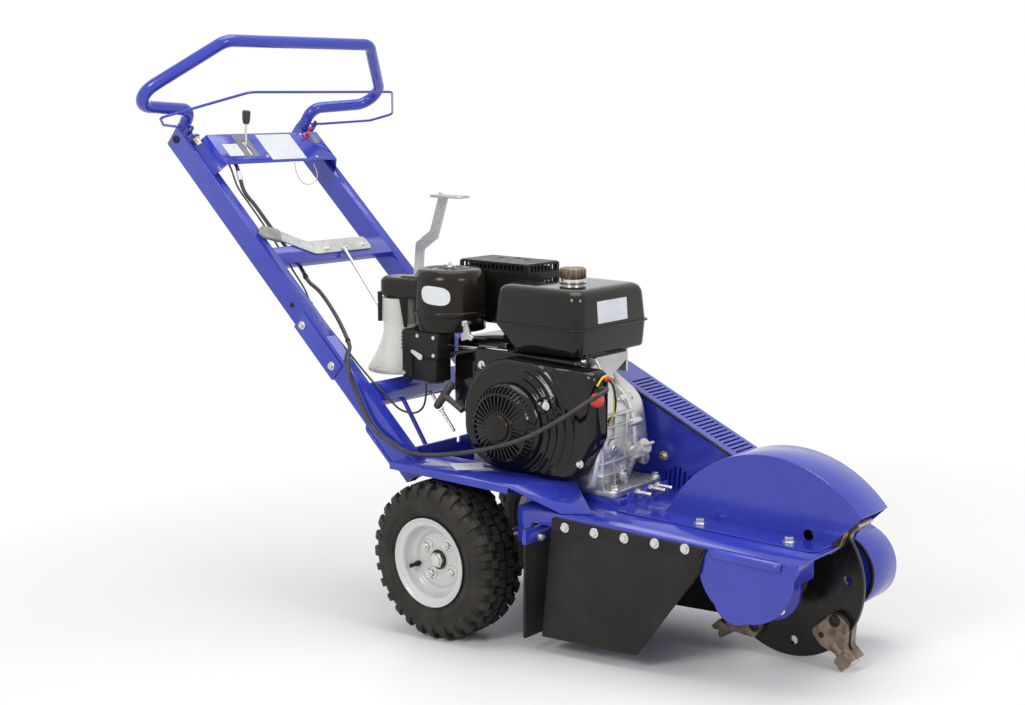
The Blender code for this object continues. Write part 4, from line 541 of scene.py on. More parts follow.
def smooth_path(points, spacing):
    """Points at a steady spacing on a smooth curve through the given points."""
    pts = [Vector(p) for p in points]
    pts = [pts[0] * 2 - pts[1]] + pts + [pts[-1] * 2 - pts[-2]]
    path = []
    for a, b, c, d in zip(pts, pts[1:], pts[2:], pts[3:]):
        count = max(1, round((c - b).length / spacing))
        for k in range(count):
            t = k / count
            path.append(0.5 * (2 * b + (c - a) * t + (2 * a - 5 * b + 4 * c - d) * t ** 2
                               + (3 * b - a - 3 * c + d) * t ** 3))
    path.append(pts[-2])
    return path


def piece(name, obj, mat, body="machine", space=CHASSIS, stands_for=(), angle=35):
    """Names a finished shape, moves it to the shared frame, gives it its material and its body."""
    obj.name = name
    obj.data.name = name
    obj.data.materials.clear()
    obj.data.materials.append(mat)
    obj.data.transform(space)
    obj.data.shade_smooth()
    obj.data.set_sharp_from_angle(angle=radians(angle))
    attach(obj, body)
    if stands_for:
        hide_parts(*stands_for)
    return obj


def dressed(node, mat, edge=0.0012):
    """A carried-over solid with its material and rounded edges."""
    obj = frame["nodes"][node]
    obj.data.materials.clear()
    obj.data.materials.append(mat)
    for polygon in obj.data.polygons:
        polygon.use_smooth = True
    weld = obj.modifiers.new("weld", "WELD")
    weld.merge_threshold = 0.00002
    bevel = obj.modifiers.new("edges", "BEVEL")
    bevel.width = edge
    bevel.segments = 2
    bevel.angle_limit = radians(35)
    bevel.harden_normals = True
    return obj


# Stage

def stage():
    """Pale floor that fades into a white surround, with the camera at the photographed angle."""
    mat, tree, shader = nodes_of("pale_floor")
    tone = ranged(tree, noise(tree, 0.7, 2.0), 0.0, 1.0)
    tree.links.new(mixed(tree, tone, (0.86, 0.855, 0.845), (0.88, 0.875, 0.87)), shader.inputs["Base Color"])
    shader.inputs["Roughness"].default_value = 0.45
    shader.inputs["Specular IOR Level"].default_value = 0.25
    coords = tree.nodes.new("ShaderNodeTexCoord")
    length = tree.nodes.new("ShaderNodeVectorMath")
    length.operation = "LENGTH"
    tree.links.new(coords.outputs["Object"], length.inputs[0])
    fade = ranged(tree, length.outputs["Value"], 0.0, 1.0, *FLOOR_FADE)
    glow = tree.nodes.new("ShaderNodeEmission")
    mix = tree.nodes.new("ShaderNodeMixShader")
    tree.links.new(fade, mix.inputs[0])
    tree.links.new(shader.outputs[0], mix.inputs[1])
    tree.links.new(glow.outputs[0], mix.inputs[2])
    tree.links.new(mix.outputs[0], tree.nodes["Material Output"].inputs["Surface"])
    bm = bmesh.new()
    bmesh.ops.create_grid(bm, x_segments=4, y_segments=4, size=FLOOR_SIZE / 2)
    floor = from_bmesh(bm)
    floor.name = "floor"
    floor.data.materials.append(mat)

    camera = bpy.data.objects.new("camera", bpy.data.cameras.new("camera"))
    bpy.context.scene.collection.objects.link(camera)
    camera.data.lens = LENS
    turn = Matrix.Rotation(CAMERA_AZIMUTH, 4, "Z") @ Matrix.Rotation(pi / 2 - CAMERA_DOWN, 4, "X")
    camera.matrix_world = CHASSIS @ Matrix.Translation(CAMERA_PLACE) @ turn
    bpy.context.scene.camera = camera
    bpy.context.scene.view_settings.view_transform = "Standard"


def lamp(name, place, target, size, power):
    """Round area lamp that looks at a target."""
    data = bpy.data.lights.new(name, "AREA")
    data.shape = "DISK"
    data.size = size
    data.energy = power
    obj = bpy.data.objects.new(name, data)
    bpy.context.scene.collection.objects.link(obj)
    direction = Vector(target) - Vector(place)
    obj.matrix_world = Matrix.Translation(place) @ direction.to_track_quat("-Z", "Y").to_matrix().to_4x4()


def studio():
    """Plain soft light from above, with softer lamps from the camera's side and from the front."""
    for row in LAMPS:
        lamp(*row)
    world = bpy.data.worlds.new("surround")
    bpy.context.scene.world = world
    world.use_nodes = True
    tree = world.node_tree
    tree.nodes.clear()
    rays = tree.nodes.new("ShaderNodeLightPath").outputs
    seen = computed(tree, "MAXIMUM", rays["Is Camera Ray"], rays["Is Glossy Ray"])
    through = computed(tree, "MAXIMUM", seen, rays["Is Transmission Ray"])
    strength = ranged(tree, through, SURROUND_LIGHT, 1.0, 0.0, 1.0)
    background = tree.nodes.new("ShaderNodeBackground")
    tree.links.new(strength, background.inputs["Strength"])
    background.inputs["Color"].default_value = (1, 1, 1, 1)
    output = tree.nodes.new("ShaderNodeOutputWorld")
    tree.links.new(background.outputs[0], output.inputs["Surface"])


# Wheels

TRACK = 0.2
WHEEL_Z = 0.165
LUG_CIRCLE = 0.04
LUG_ANGLE = radians(52)
TYRE_R = 0.165
TREAD_BASE = 0.154
TREAD_COUNT = 28
WHEEL_STEPS = 112                # of the turned tyre and rim
LUG_COUNT = 4
LUG_FACE = 0.021                 # the disc under the lug bolts, from the tyre's middle


def wheel_place(side):
    """Matrix that puts a shape turned about an upright axis on a wheel's axis."""
    return Matrix.Translation((0, side * TRACK, WHEEL_Z)) @ Matrix.Rotation(-side * pi / 2, 4, "X")


def knob(bm, angle, span, section_low, section_high, inset=0.0012):
    """Tread block over an angular span, from a base section to a raised one of (height, radius) points."""
    layers = []
    for section, shrink in ((section_low, 0.0), (section_high, inset)):
        for edge in (angle - span / 2 + shrink / TYRE_R, angle + span / 2 - shrink / TYRE_R):
            layers.append([bm.verts.new((r * cos(edge), r * sin(edge), h)) for h, r in section])
    low_a, low_b, high_a, high_b = layers
    count = len(section_low)
    if count == 2:
        bm.faces.new(high_a + high_b[::-1])
    for k in range(count - 1):
        if count > 2:
            bm.faces.new((high_a[k], high_a[k + 1], high_b[k + 1], high_b[k]))
        bm.faces.new((low_a[k], low_a[k + 1], high_a[k + 1], high_a[k]))
        bm.faces.new((low_b[k + 1], low_b[k], high_b[k], high_b[k + 1]))
    bm.faces.new((low_a[0], high_a[0], high_b[0], low_b[0]))
    bm.faces.new((high_a[-1], low_a[-1], low_b[-1], high_b[-1]))


def tyre(side, name):
    """Carcass with moulded ribs on its sidewalls, and rows of tread blocks round it."""
    half = [
        (0.0775, 0.0515), (0.09, 0.0527), (0.095, 0.0527), (0.0968, 0.0548), (0.1, 0.056),
        (0.1015, 0.056), (0.103, 0.0578), (0.106, 0.059), (0.112, 0.0594), (0.1126, 0.0602),
        (0.1136, 0.0602), (0.1142, 0.0595), (0.118, 0.0597), (0.1186, 0.0604), (0.1196, 0.0604),
        (0.1202, 0.0597), (0.129, 0.0594), (0.137, 0.058), (0.144, 0.0556), (0.15, 0.0515),
        (0.152, 0.0455), (0.1534, 0.035), (0.154, 0.02), (0.154, 0.0),
    ]
    profile = half + [(r, -h) for r, h in half[-2::-1]]
    place = wheel_place(side)
    body = turned(profile, WHEEL_STEPS, place)
    bm = bmesh.new()
    pitch = 2 * pi / TREAD_COUNT
    for k in range(TREAD_COUNT):
        base = k * pitch
        for out in (-1, 1):
            shift = 0.0 if out > 0 else pitch / 2
            rows = (
                (0.08, 0.52, 0.0025, 0.019), (0.62, 0.46, 0.005, 0.023), (0.3, 0.5, 0.0245, 0.039),
            )
            for place_in, wide, low, high in rows:
                section_low = [(out * low, TREAD_BASE - 0.002), (out * high, TREAD_BASE - 0.002)]
                top = TYRE_R - (0.0 if high < 0.03 else 0.001)
                section_high = [(out * (low + 0.001), top), (out * (high - 0.001), top - 0.0006)]
                knob(bm, base + shift + place_in * pitch, wide * pitch, section_low, section_high)
            low_side = [(out * 0.04, 0.15), (out * 0.05, 0.149), (out * 0.056, 0.141), (out * 0.0585, 0.134)]
            high_side = [(out * 0.0405, 0.1635), (out * 0.051, 0.16), (out * 0.0596, 0.1475),
                         (out * 0.0604, 0.137)]
            long = 0.56 if k % 2 else 0.44
            knob(bm, base + shift + 0.8 * pitch, long * pitch, low_side, high_side)
    blocks = moved(from_bmesh(bm), place)
    node = "tyre_" + name
    return piece(node + "_rubber", joined(body, blocks), TYRE, "wheel_" + name, GROUND, [node], 32)


def rim(side, name):
    """Pressed rim with rolled flanges, a deep stepped dish and its hub, with lug bolts and a valve."""
    profile = [
        (0.0925, 0.0562), (0.0932, 0.0576), (0.093, 0.0592), (0.0916, 0.06), (0.09, 0.0597),
        (0.0886, 0.0584), (0.0872, 0.0564), (0.0848, 0.0552), (0.079, 0.0546), (0.0768, 0.0536),
        (0.0752, 0.051), (0.0745, 0.0452), (0.0735, 0.0404), (0.07, 0.0344), (0.0665, 0.0312),
        (0.0622, 0.0298), (0.06, 0.0284), (0.0584, 0.0256), (0.0562, 0.0226), (0.054, 0.0216),
        (0.031, 0.0206), (0.0292, 0.0212), (0.028, 0.0222), (0.0264, 0.0226), (0.0222, 0.0228),
        (0.0214, 0.025), (0.02, 0.0254), (0.0135, 0.0254), (0.0135, -0.05),
        (0.0215, -0.05), (0.0215, 0.017), (0.056, 0.019), (0.068, 0.028), (0.073, 0.028),
        (0.0735, -0.053), (0.088, -0.058), (0.0925, -0.0592), (0.0925, -0.0562), (0.0765, -0.053),
        (0.0765, 0.053), (0.0925, 0.0562),
    ]
    place = wheel_place(side)
    node = "rim_" + name
    body = "wheel_" + name
    piece(node + "_pressing", turned(profile, WHEEL_STEPS, place), RIM_GREY, body, GROUND, [node], 50)
    lugs = []
    for k in range(LUG_COUNT):
        angle = -side * LUG_ANGLE + pi / 2 * k
        spot = place @ Vector((LUG_CIRCLE * cos(angle), LUG_CIRCLE * sin(angle), LUG_FACE))
        lugs.append(bolt(spot, (0, side, 0), 0.015))
        lugs.append(rod(spot, spot + Vector((0, side * 0.0135, 0)), 0.0042, 16))
    piece(node + "_lug_bolts", joined(*lugs), ZINC, body, GROUND)
    stem = place @ Vector((-0.057, side * 0.0145, 0.025))
    out = Vector((0, side, 0))
    valve = [rod(stem, stem + out * 0.01, 0.0058, 20, 0.0012), rod(stem, stem + out * 0.02, 0.004, 20),
             rod(stem + out * 0.0205, stem + out * 0.027, 0.0046, 14)]
    piece(node + "_valve", joined(*valve), PLASTIC, body, GROUND)


def axle():
    """Bar with spacers inside the wheels, and washers, nuts and split pins at its ends."""
    bright = [rod((0, -0.239, WHEEL_Z), (0, 0.239, WHEEL_Z), 0.0125, 32, 0.0015)]
    dark = []
    for side in (-1, 1):
        out = Vector((0, side, 0))
        hub = Vector((0, side * 0.2256, WHEEL_Z))
        dark.append(rod(hub, hub + out * 0.002, 0.0208, 36))
        bright.append(hexagon(hub + out * 0.002, out, 0.03, 0.0082))
        pin = hub + out * 0.0115
        bright.append(rod(pin + Vector((0.019, 0, 0.004)), pin - Vector((0.019, 0, 0.004)), 0.0013, 10))
        start = Vector((0, side * 0.1253, WHEEL_Z))
        bright.append(rod(start, start + out * 0.0243, 0.018, 32))
    piece("axle_and_nuts", joined(*bright), ZINC, "machine", GROUND, ["axle"])
    piece("axle_washers", joined(*dark), DISC, "machine", GROUND)


# Handle frame

LOCK_OUTLINE = ((-0.02, 0.018, 0.01), (-0.02, -0.162, 0.006), (-0.061, -0.222, 0.004),
                (-0.034, -0.238, 0.004), (0.019, -0.162, 0.012), (0.019, 0.018, 0.01))
GRIP_OUTLINE = ((-0.06, -0.222, 0.008), (-0.079, -0.262, 0.012), (-0.062, -0.286, 0.012),
                (-0.044, -0.28, 0.01), (-0.024, -0.238, 0.01))


def console():
    """Blank plates, the throttle's gate and the screws on the console."""
    face = 0.09
    plates = (
        ("console_plate_middle", (-0.069, 0.015), (-0.03, 0.078), 0.0006, PALE),
        ("console_plate_right", (-0.042, -0.002), (-0.148, -0.104), 0.0006, PALE),
        ("console_plate_left", (-0.063, -0.035), (0.14, 0.156), 0.0006, GREY_PLATE),
    )
    for name, s, y, thick, mat in plates:
        piece(name, slab(rounded_box(s, y, 0.002, 3), (face, face + thick), edge=0.0002), mat, space=LEG)
    gate = slab(rounded_box((-0.071, 0.002), (-0.103, -0.06), 0.002, 3), (face, face + 0.0008),
                holes=[rounded_box((-0.05, -0.004), (-0.0845, -0.0755), 0.003, 3)], edge=0.0003)
    piece("throttle_gate", gate, GREY_PLATE, space=LEG)
    spots = ((0.004, -0.04), (-0.066, 0.112), (0.012, 0.112))
    screws = [screw_head((s, y, face), TO_TOP, 0.0036, 0.0024) for s, y in spots]
    piece("console_screws", joined(*screws), ZINC, space=LEG)
    collar = [rod((-0.0588, 0.127, face + 0.0055), (-0.0588, 0.127, face + 0.0001), 0.0095, 28),
              hexagon((-0.0588, 0.127, face), TO_TOP, 0.0185, 0.003)]
    piece("toggle_collar", joined(*collar), RED, space=LEG)


def throttle():
    """Flat lever with its moulded knob."""
    pivot = Vector((-0.018, -0.08, 0.066))
    top = Vector((-0.075, -0.08, 0.14))
    reach = top - pivot
    place = aim(pivot, reach) @ Matrix.Rotation(pi / 2, 4, "Z")
    stem = slab(rounded_box((-0.003, 0.003), (-0.006, reach.length - 0.004), 0.0025, 3),
                (-0.0014, 0.0014), ACROSS)
    sections = []
    for height, wide, deep in ((-0.014, 0.006, 0.004), (-0.0125, 0.0088, 0.006), (-0.006, 0.0104, 0.0074),
                               (0.004, 0.0112, 0.0082), (0.011, 0.0116, 0.0084), (0.0155, 0.011, 0.0078),
                               (0.0175, 0.0088, 0.006), (0.018, 0.0056, 0.0034)):
        ring = [(wide * cos(2 * pi * k / 28), deep * sin(2 * pi * k / 28)) for k in range(28)]
        sections.append((ring, reach.length + height))
    grip = lofted(sections)
    pin = rod((-0.0095, 0, 0), (0.003, 0, 0), 0.003, 20)
    all_moved((stem, grip, pin), place)
    piece("throttle_stem", joined(stem, pin), ZINC, "throttle_lever", LEG, ["throttle_lever"])
    piece("throttle_knob", grip, KNOB_BLACK, "throttle_lever", LEG)


def toggle():
    """Red ball with its tapered stem, leaning from the console."""
    pivot = Vector((-0.0588, 0.127, 0.1013))
    lean = radians(12)
    tip = pivot + Vector((-sin(lean), 0, cos(lean))) * 0.018
    ball = turned([(0, -0.005), (0.003, -0.004), (0.0048, -0.0015), (0.005, 0), (0.0046, 0.002),
                   (0.0035, 0.0036), (0.0026, 0.006), (0.0026, 0.01), (0.004, 0.0125), (0.0046, 0.0155),
                   (0.0036, 0.018), (0, 0.0186)], 28, aim(pivot, tip - pivot))
    piece("toggle_paddle", ball, RED, "toggle_switch", LEG, ["toggle_switch"])


LEG_REF = (-0.773, 0.9)


def above_leg(offset, side):
    """Handle frame point of a place given level and upright from the legs' reference point."""
    x, y, z = offset
    point = LEG.inverted() @ (CHASSIS @ Vector((LEG_REF[0] + x, side * y, LEG_REF[1] + z)))
    return Vector((point.x, side * y, point.z))


def handle_bar():
    """Bent tube with its welded feet on the legs."""
    ends = []
    feet = []
    for side in (-1, 1):
        ends.append([Vector((-0.131, side * 0.188, 0.0585)), above_leg((-0.027, 0.19, 0.174), side),
                     above_leg((0.0056, 0.4046, 0.1864), side), above_leg((0.1449, 0.2225, 0.3265), side)])
        y = sorted((side * 0.1735, side * 0.1995))
        feet.append(block((-0.1405, -0.118), y, (0.0543, 0.0598), 0.0015))
        feet.append(rod((-0.131, side * 0.188, 0.059), (-0.1306, side * 0.188, 0.0625), 0.016, 36, 0.0012,
                        0.0145))
    points = ends[0] + ends[1][::-1]
    radii = (0.0315, 0.045, 0.045, 0.045, 0.045, 0.0315)
    bar = tube(bent(points, radii, 16), 0.014, 7)
    piece("handle_bar_tube", joined(bar, *feet), BLUE, space=LEG, stands_for=["handle_bar"])


BAIL_CORNERS = ((0.042, 0.3228, 0.1426), (0.0834, 0.3621, 0.1587), (0.2195, 0.2218, 0.2142))
FINGER_Y = 0.183


def bail():
    """Thin bent wire over the bar, with the finger that presses the switch."""
    s, n, swing = -0.1105, 0.082, 0.222
    near = [Vector((s, -FINGER_Y, 0.0605)), Vector((s, -FINGER_Y, n)), Vector((s, -swing, n))]
    near += [above_leg(corner, -1) for corner in BAIL_CORNERS]
    far = [above_leg(corner, 1) for corner in BAIL_CORNERS[::-1]]
    far += [Vector((s, swing, n)), Vector((s, 0.185, n))]
    radii = (0.006, 0.01, 0.015, 0.015, 0.03, 0.03, 0.015, 0.015, 0.01)
    piece("bail_wire", tube(bent(near + far, radii, 8), 0.003, 5), BLUE, "bail", LEG, ["bail"])


def bail_switch():
    """Brass barrel, with the sleeve and the lock nut ahead of it."""
    start = Vector((-0.1072, -FINGER_Y, 0.066))
    along = Vector(TO_FRONT)
    barrel = turned([(0, 0), (0.003, 0), (0.0038, 0.0008), (0.0038, 0.006), (0.0044, 0.0066), (0.0044, 0.019),
                     (0.0036, 0.0199), (0, 0.0199)], 28, aim(start, along))
    piece("bail_switch_barrel", barrel, BRASS, "bail_switch", LEG, ["bail_switch"])
    sleeve = start + along * 0.0222
    body = [rod(sleeve, sleeve + along * 0.02, 0.007, 32),
            hexagon(sleeve - along * 0.0004, along, 0.017, 0.003)]
    piece("bail_switch_sleeve", joined(*body), BRASS, space=LEG)


def lock_lever():
    """Zinc plate on the upper cross-member with its bolts, and a worn moulded grip at its end."""
    low = LOCK_PIVOT[2]
    top = low + 0.004

    def placed(outline):
        return rounded([(LOCK_PIVOT[0] + s, LOCK_PIVOT[1] + y, radius) for s, y, radius in outline])

    plate = slab(placed(LOCK_OUTLINE), (low, top), edge=0.0009)
    piece("lock_plate", plate, DULL_ZINC, "lock_lever", LEG, ["lock_lever"])
    grip = slab(placed(GRIP_OUTLINE), (low - 0.0002, low + 0.0095), edge=0.0042, steps=4)
    piece("lock_handle", grip, WORN_GRIP, "lock_lever", LEG)
    heads = [screw_head((s, y, top), TO_TOP, radius, 0.003)
             for s, y, radius in ((0.272, 0.094, 0.0072), (0.2735, 0.032, 0.0072), (0.2715, -0.025, 0.0095))]
    hook = tube(bent([(0.2755, 0.03, top + 0.0025), (0.282, 0.022, top + 0.006), (0.29, 0.015, top + 0.006)],
                     (0.004,), 5), 0.0032, 4)
    piece("lock_rivets", joined(*heads, hook), ZINC, "lock_lever", LEG)


def lock_rod():
    """Long rod down to the deck, threaded for its nuts near the foot."""
    start = Vector((0.286, 0.02, 0.0635))
    end = Vector((0.818, -0.02, 0.0386))
    along = (end - start).normalized()
    body = [rod(start, end, 0.0038, 24)]
    for place in (0.402, 0.418, 0.47):
        body.append(hexagon(start + along * place, along, 0.013, 0.006))
    body += thread(start, along, 0.385, 60, 0.0042)
    piece("lock_rod_thread", joined(*body), ZINC, "lock_rod", LEG, ["lock_rod"])


STRAP_LINE = ((0.342, -0.291), (0.357, -0.144), (0.402, -0.114), (0.434, -0.019))
STRAP_HALF = 0.0135
STRAP_THICK = 0.006


def strap_lever():
    """Jogged flat strap on the left leg, with its tab bent over."""
    line = [Vector((LEG_REF[0] + x, LEG_REF[1] + z)) for x, z in STRAP_LINE]
    left, right = [], []
    for k, here in enumerate(line):
        ahead = (line[k + 1] - here).normalized() if k < len(line) - 1 else (here - line[k - 1]).normalized()
        behind = (here - line[k - 1]).normalized() if k else ahead
        middle = (ahead + behind).normalized()
        normal = Vector((-middle.y, middle.x)) * (STRAP_HALF / middle.dot(ahead))
        left.append((*(here + normal), 0.006 if 0 < k < 3 else 0.0))
        right.append((*(here - normal), 0.006 if 0 < k < 3 else 0.0))
    outline = rounded(right + left[::-1])
    outer = 0.1727
    inner = outer - STRAP_THICK
    body = slab(outline, (inner, outer), SIDEWAYS, edge=0.0012)
    foot = rod((line[0].x, inner, line[0].y), (line[0].x, outer, line[0].y), STRAP_HALF, 40)
    top = line[-1]
    tab = slab(rounded_box((top.x - STRAP_HALF, top.x + 0.08), (outer - 0.04, outer), 0.006, 5),
               (top.y - STRAP_THICK, top.y), edge=0.0012)
    piece("strap_and_tab", joined(body, foot, tab), DULL_ZINC, "strap_lever", stands_for=["strap_lever"])
    head = bolt((line[0].x, inner, line[0].y), TO_RIGHT, 0.014)
    piece("strap_bolt", head, ZINC, "strap_lever")


def leg_bolts():
    """Splice bolts on the outer faces of the legs, and the black plugs of their spare holes."""
    zinc, black = [], []
    for side in (-1, 1):
        face = side * 0.2033
        out = (0, side, 0)
        zinc.append(bolt((0.455, face, 0.019), out, 0.011))
        zinc.append(bolt((0.576, face, 0.02), out, 0.011))
        black.append(screw_head((0.401, side * 0.2, 0.0265), out, 0.006, 0.002))
        black.append(screw_head((-0.124, side * 0.2, 0.03), out, 0.0095, 0.003))
    piece("splice_bolts", joined(*zinc), ZINC, space=LEG)
    piece("leg_plugs", joined(*black), PLASTIC, space=LEG)


# Cutter, hood and belt guard

CUTTER_SHAFT = (0.69, 0.218)
CUTTER = Vector((CUTTER_SHAFT[0], 0, CUTTER_SHAFT[1]))
DISC_RADIUS = 0.155
DISC_HALF = 0.005
TOOTH_COUNT = 8
TOOTH_START = -45                # degrees, of the first pair of teeth
TOOTH_PITCH = 90
SCREW_CIRCLE = 0.124             # of the pockets' cap screws and of the disc's spare holes
TOOTH_NEAR = 0.0053              # the pockets' inner and outer faces, from the disc's middle
TOOTH_TOP = 0.0223


def cutter_spin(angle):
    """Matrix that puts a shape drawn at the shaft at an angle round the cutter."""
    return Matrix.Translation(CUTTER) @ Matrix.Rotation(-angle, 4, "Y")


def cutter():
    """Disc with its hub and holes, its shaft and pulley, and the teeth on both faces."""
    centre = (CUTTER.x, CUTTER.z)
    holes = [circle(centre, 0.0153, 40)]
    for k in range(4):
        for offset in (16, 52):
            angle = radians(TOOTH_START + TOOTH_PITCH * k + offset)
            spot = (centre[0] + SCREW_CIRCLE * cos(angle), centre[1] + SCREW_CIRCLE * sin(angle))
            holes.append(circle(spot, 0.0086, 24))
    disc = slab(circle(centre, DISC_RADIUS, 128), (-DISC_HALF, DISC_HALF), SIDEWAYS, holes, 0.0008)
    hub = turned([(0.0153, 0.022), (0.03, 0.022), (0.032, 0.02), (0.032, 0.012), (0.04, 0.01), (0.042, 0.008),
                  (0.042, -0.008), (0.04, -0.01), (0.032, -0.012), (0.032, -0.02), (0.03, -0.022),
                  (0.0153, -0.022)], 64, aim(CUTTER, TO_LEFT))
    piece("cutter_disc_plate", joined(disc, hub), DISC, "cutter", stands_for=["cutter_disc"])
    heads = []
    for side in (-1, 1):
        for k in range(6):
            angle = 2 * pi * k / 6
            spot = CUTTER + Vector((0.037 * cos(angle), side * 0.0095, 0.037 * sin(angle)))
            heads.append(screw_head(spot, (0, side, 0), 0.0042, 0.004))
    piece("cutter_hub_screws", joined(*heads), PLASTIC, "cutter")
    shaft = rod(CUTTER + Vector((0, -0.1896, 0)), CUTTER + Vector((0, 0.1796, 0)), 0.0148, 40, 0.0012)
    piece("cutter_shaft_bar", shaft, ZINC, "cutter", stands_for=["cutter_shaft"])
    for k in range(TOOTH_COUNT):
        tooth(k)


def tooth(k):
    """Pocket with its cap screw, set screw and shank, and the tooth's forked head with carbide tips."""
    side = -1 if k % 2 == 0 else 1
    spin = cutter_spin(radians(TOOTH_START + TOOTH_PITCH * (k // 2)))
    top = TOOTH_TOP
    y = sorted((side * TOOTH_NEAR, side * top))
    pocket = rounded([(0.104, -0.022, 0.012), (0.138, -0.024, 0.012), (0.168, -0.008, 0.014),
                      (0.182, -0.006, 0.003), (0.182, 0.012, 0.003), (0.168, 0.016, 0.01),
                      (0.137, 0.051, 0.014), (0.104, 0.046, 0.018)], 6)
    body = slab(pocket, y, SIDEWAYS, edge=0.0024, steps=3)
    head = rounded([(0.172, -0.009, 0.003), (0.176, -0.0185, 0.002), (0.1985, -0.0185, 0.0015),
                    (0.1985, -0.009, 0.0015), (0.1905, -0.004, 0.003), (0.1985, 0.003, 0.0015),
                    (0.1985, 0.0118, 0.0015), (0.176, 0.0118, 0.002), (0.172, 0.006, 0.003)], 3)
    reach = sorted((side * 0.0012, side * (top + 0.0038)))
    fork = slab(head, reach, SIDEWAYS, edge=0.0012, steps=2)
    shank = rod((0.15, side * 0.0165, -0.001), (0.18, side * 0.015, -0.002), 0.0098, 28)
    parts = all_moved([body, fork, shank], spin)
    name = "cutter_tooth_%d" % (k + 1)
    piece(name + "_pocket", joined(*parts), BROWN, "cutter", stands_for=[name])
    tips = [block((0.1955, 0.2), sorted((side * 0.002, side * (top + 0.0036))), span, 0.0006)
            for span in ((-0.0188, -0.01), (0.004, 0.012))]
    all_moved(tips, spin)
    piece(name + "_tips", joined(*tips), CARBIDE, "cutter")
    screws = []
    for degrees_on, radius, height in ((16, 0.0115, 0.0034), (-3.6, 0.0055, 0.0018)):
        angle = radians(degrees_on)
        spot = Vector((SCREW_CIRCLE * cos(angle), side * top, SCREW_CIRCLE * sin(angle)))
        screws.append(screw_head(spot, (0, side, 0), radius, height))
    all_moved(screws, spin)
    piece(name + "_screws", joined(*screws), DISC, "cutter")


SHEET = 0.003
HOOD = (0.672, 0.208)
HOOD_MOUTH = 40.6                # degrees, where the hood's top sheet ends in front
HOOD_R = 0.247
SEAT = 0.3083


def hood():
    """Curved top sheet between two side sheets, with its flange, fold and bolts on the deck."""
    rise = SEAT - HOOD[1]
    rear = 180 - degrees(asin(rise / HOOD_R))
    outer = arc(HOOD, HOOD_R, HOOD_MOUTH, rear, 72)
    side = outer + [(0.8, SEAT)]
    hole = circle((0.7565, 0.32), 0.0105, 36)
    right = slab(side, (-0.055, -0.052), SIDEWAYS, [hole], 0.0008)
    left = slab(side, (0.047, 0.05), SIDEWAYS, edge=0.0008)
    inner = arc(HOOD, HOOD_R - SHEET, HOOD_MOUTH, rear, 72)
    band = slab(outer + inner[::-1], (-0.0545, 0.0495), SIDEWAYS, edge=0.0005)
    rear_x = HOOD[0] - sqrt(HOOD_R ** 2 - rise ** 2)
    foot = rounded([(0.364, -0.115, 0.01), (0.804, -0.115, 0.014), (0.804, -0.054, 0.0),
                    (rear_x, -0.054, 0.0), (rear_x, 0.05, 0.0), (0.364, 0.05, 0.006)])
    flange = slab(foot, (SEAT, SEAT + SHEET), edge=0.0008)
    lip_at = arc(HOOD, HOOD_R, HOOD_MOUTH, HOOD_MOUTH, 1)[0]
    lip = slab([(lip_at[0], lip_at[1]), (lip_at[0] - 0.002, lip_at[1] - 0.0022),
                (lip_at[0] - 0.0135, lip_at[1] + 0.0055), (lip_at[0] - 0.0115, lip_at[1] + 0.008)],
               (-0.052, 0.047), SIDEWAYS, edge=0.0004)
    piece("hood_sheets", joined(right, left, band, flange, lip), BLUE, stands_for=["cutter_hood"])
    spots = ((0.545, -0.088), (0.736, -0.088))
    heads = [bolt((x, y, SEAT + SHEET), TO_TOP, 0.015) for x, y in spots]
    piece("hood_bolts", joined(*heads), ZINC)
    edging = tube([Vector((x, -0.0535, z)) for x, z in (lip_at, (0.8, SEAT + 0.004))], 0.0012, 3)
    piece("hood_mouth_edge", edging, BLUE)


GUARD_REAR = (0.133, 0.455)
GUARD_FRONT = (0.73, 0.2075)
GUARD_R = (0.092, 0.077)
GUARD_Y = (0.1153, 0.2073)
SLOT_COUNT = 27
SLOT_PITCH = 0.0112
SLOT_WIDTH = 0.0042


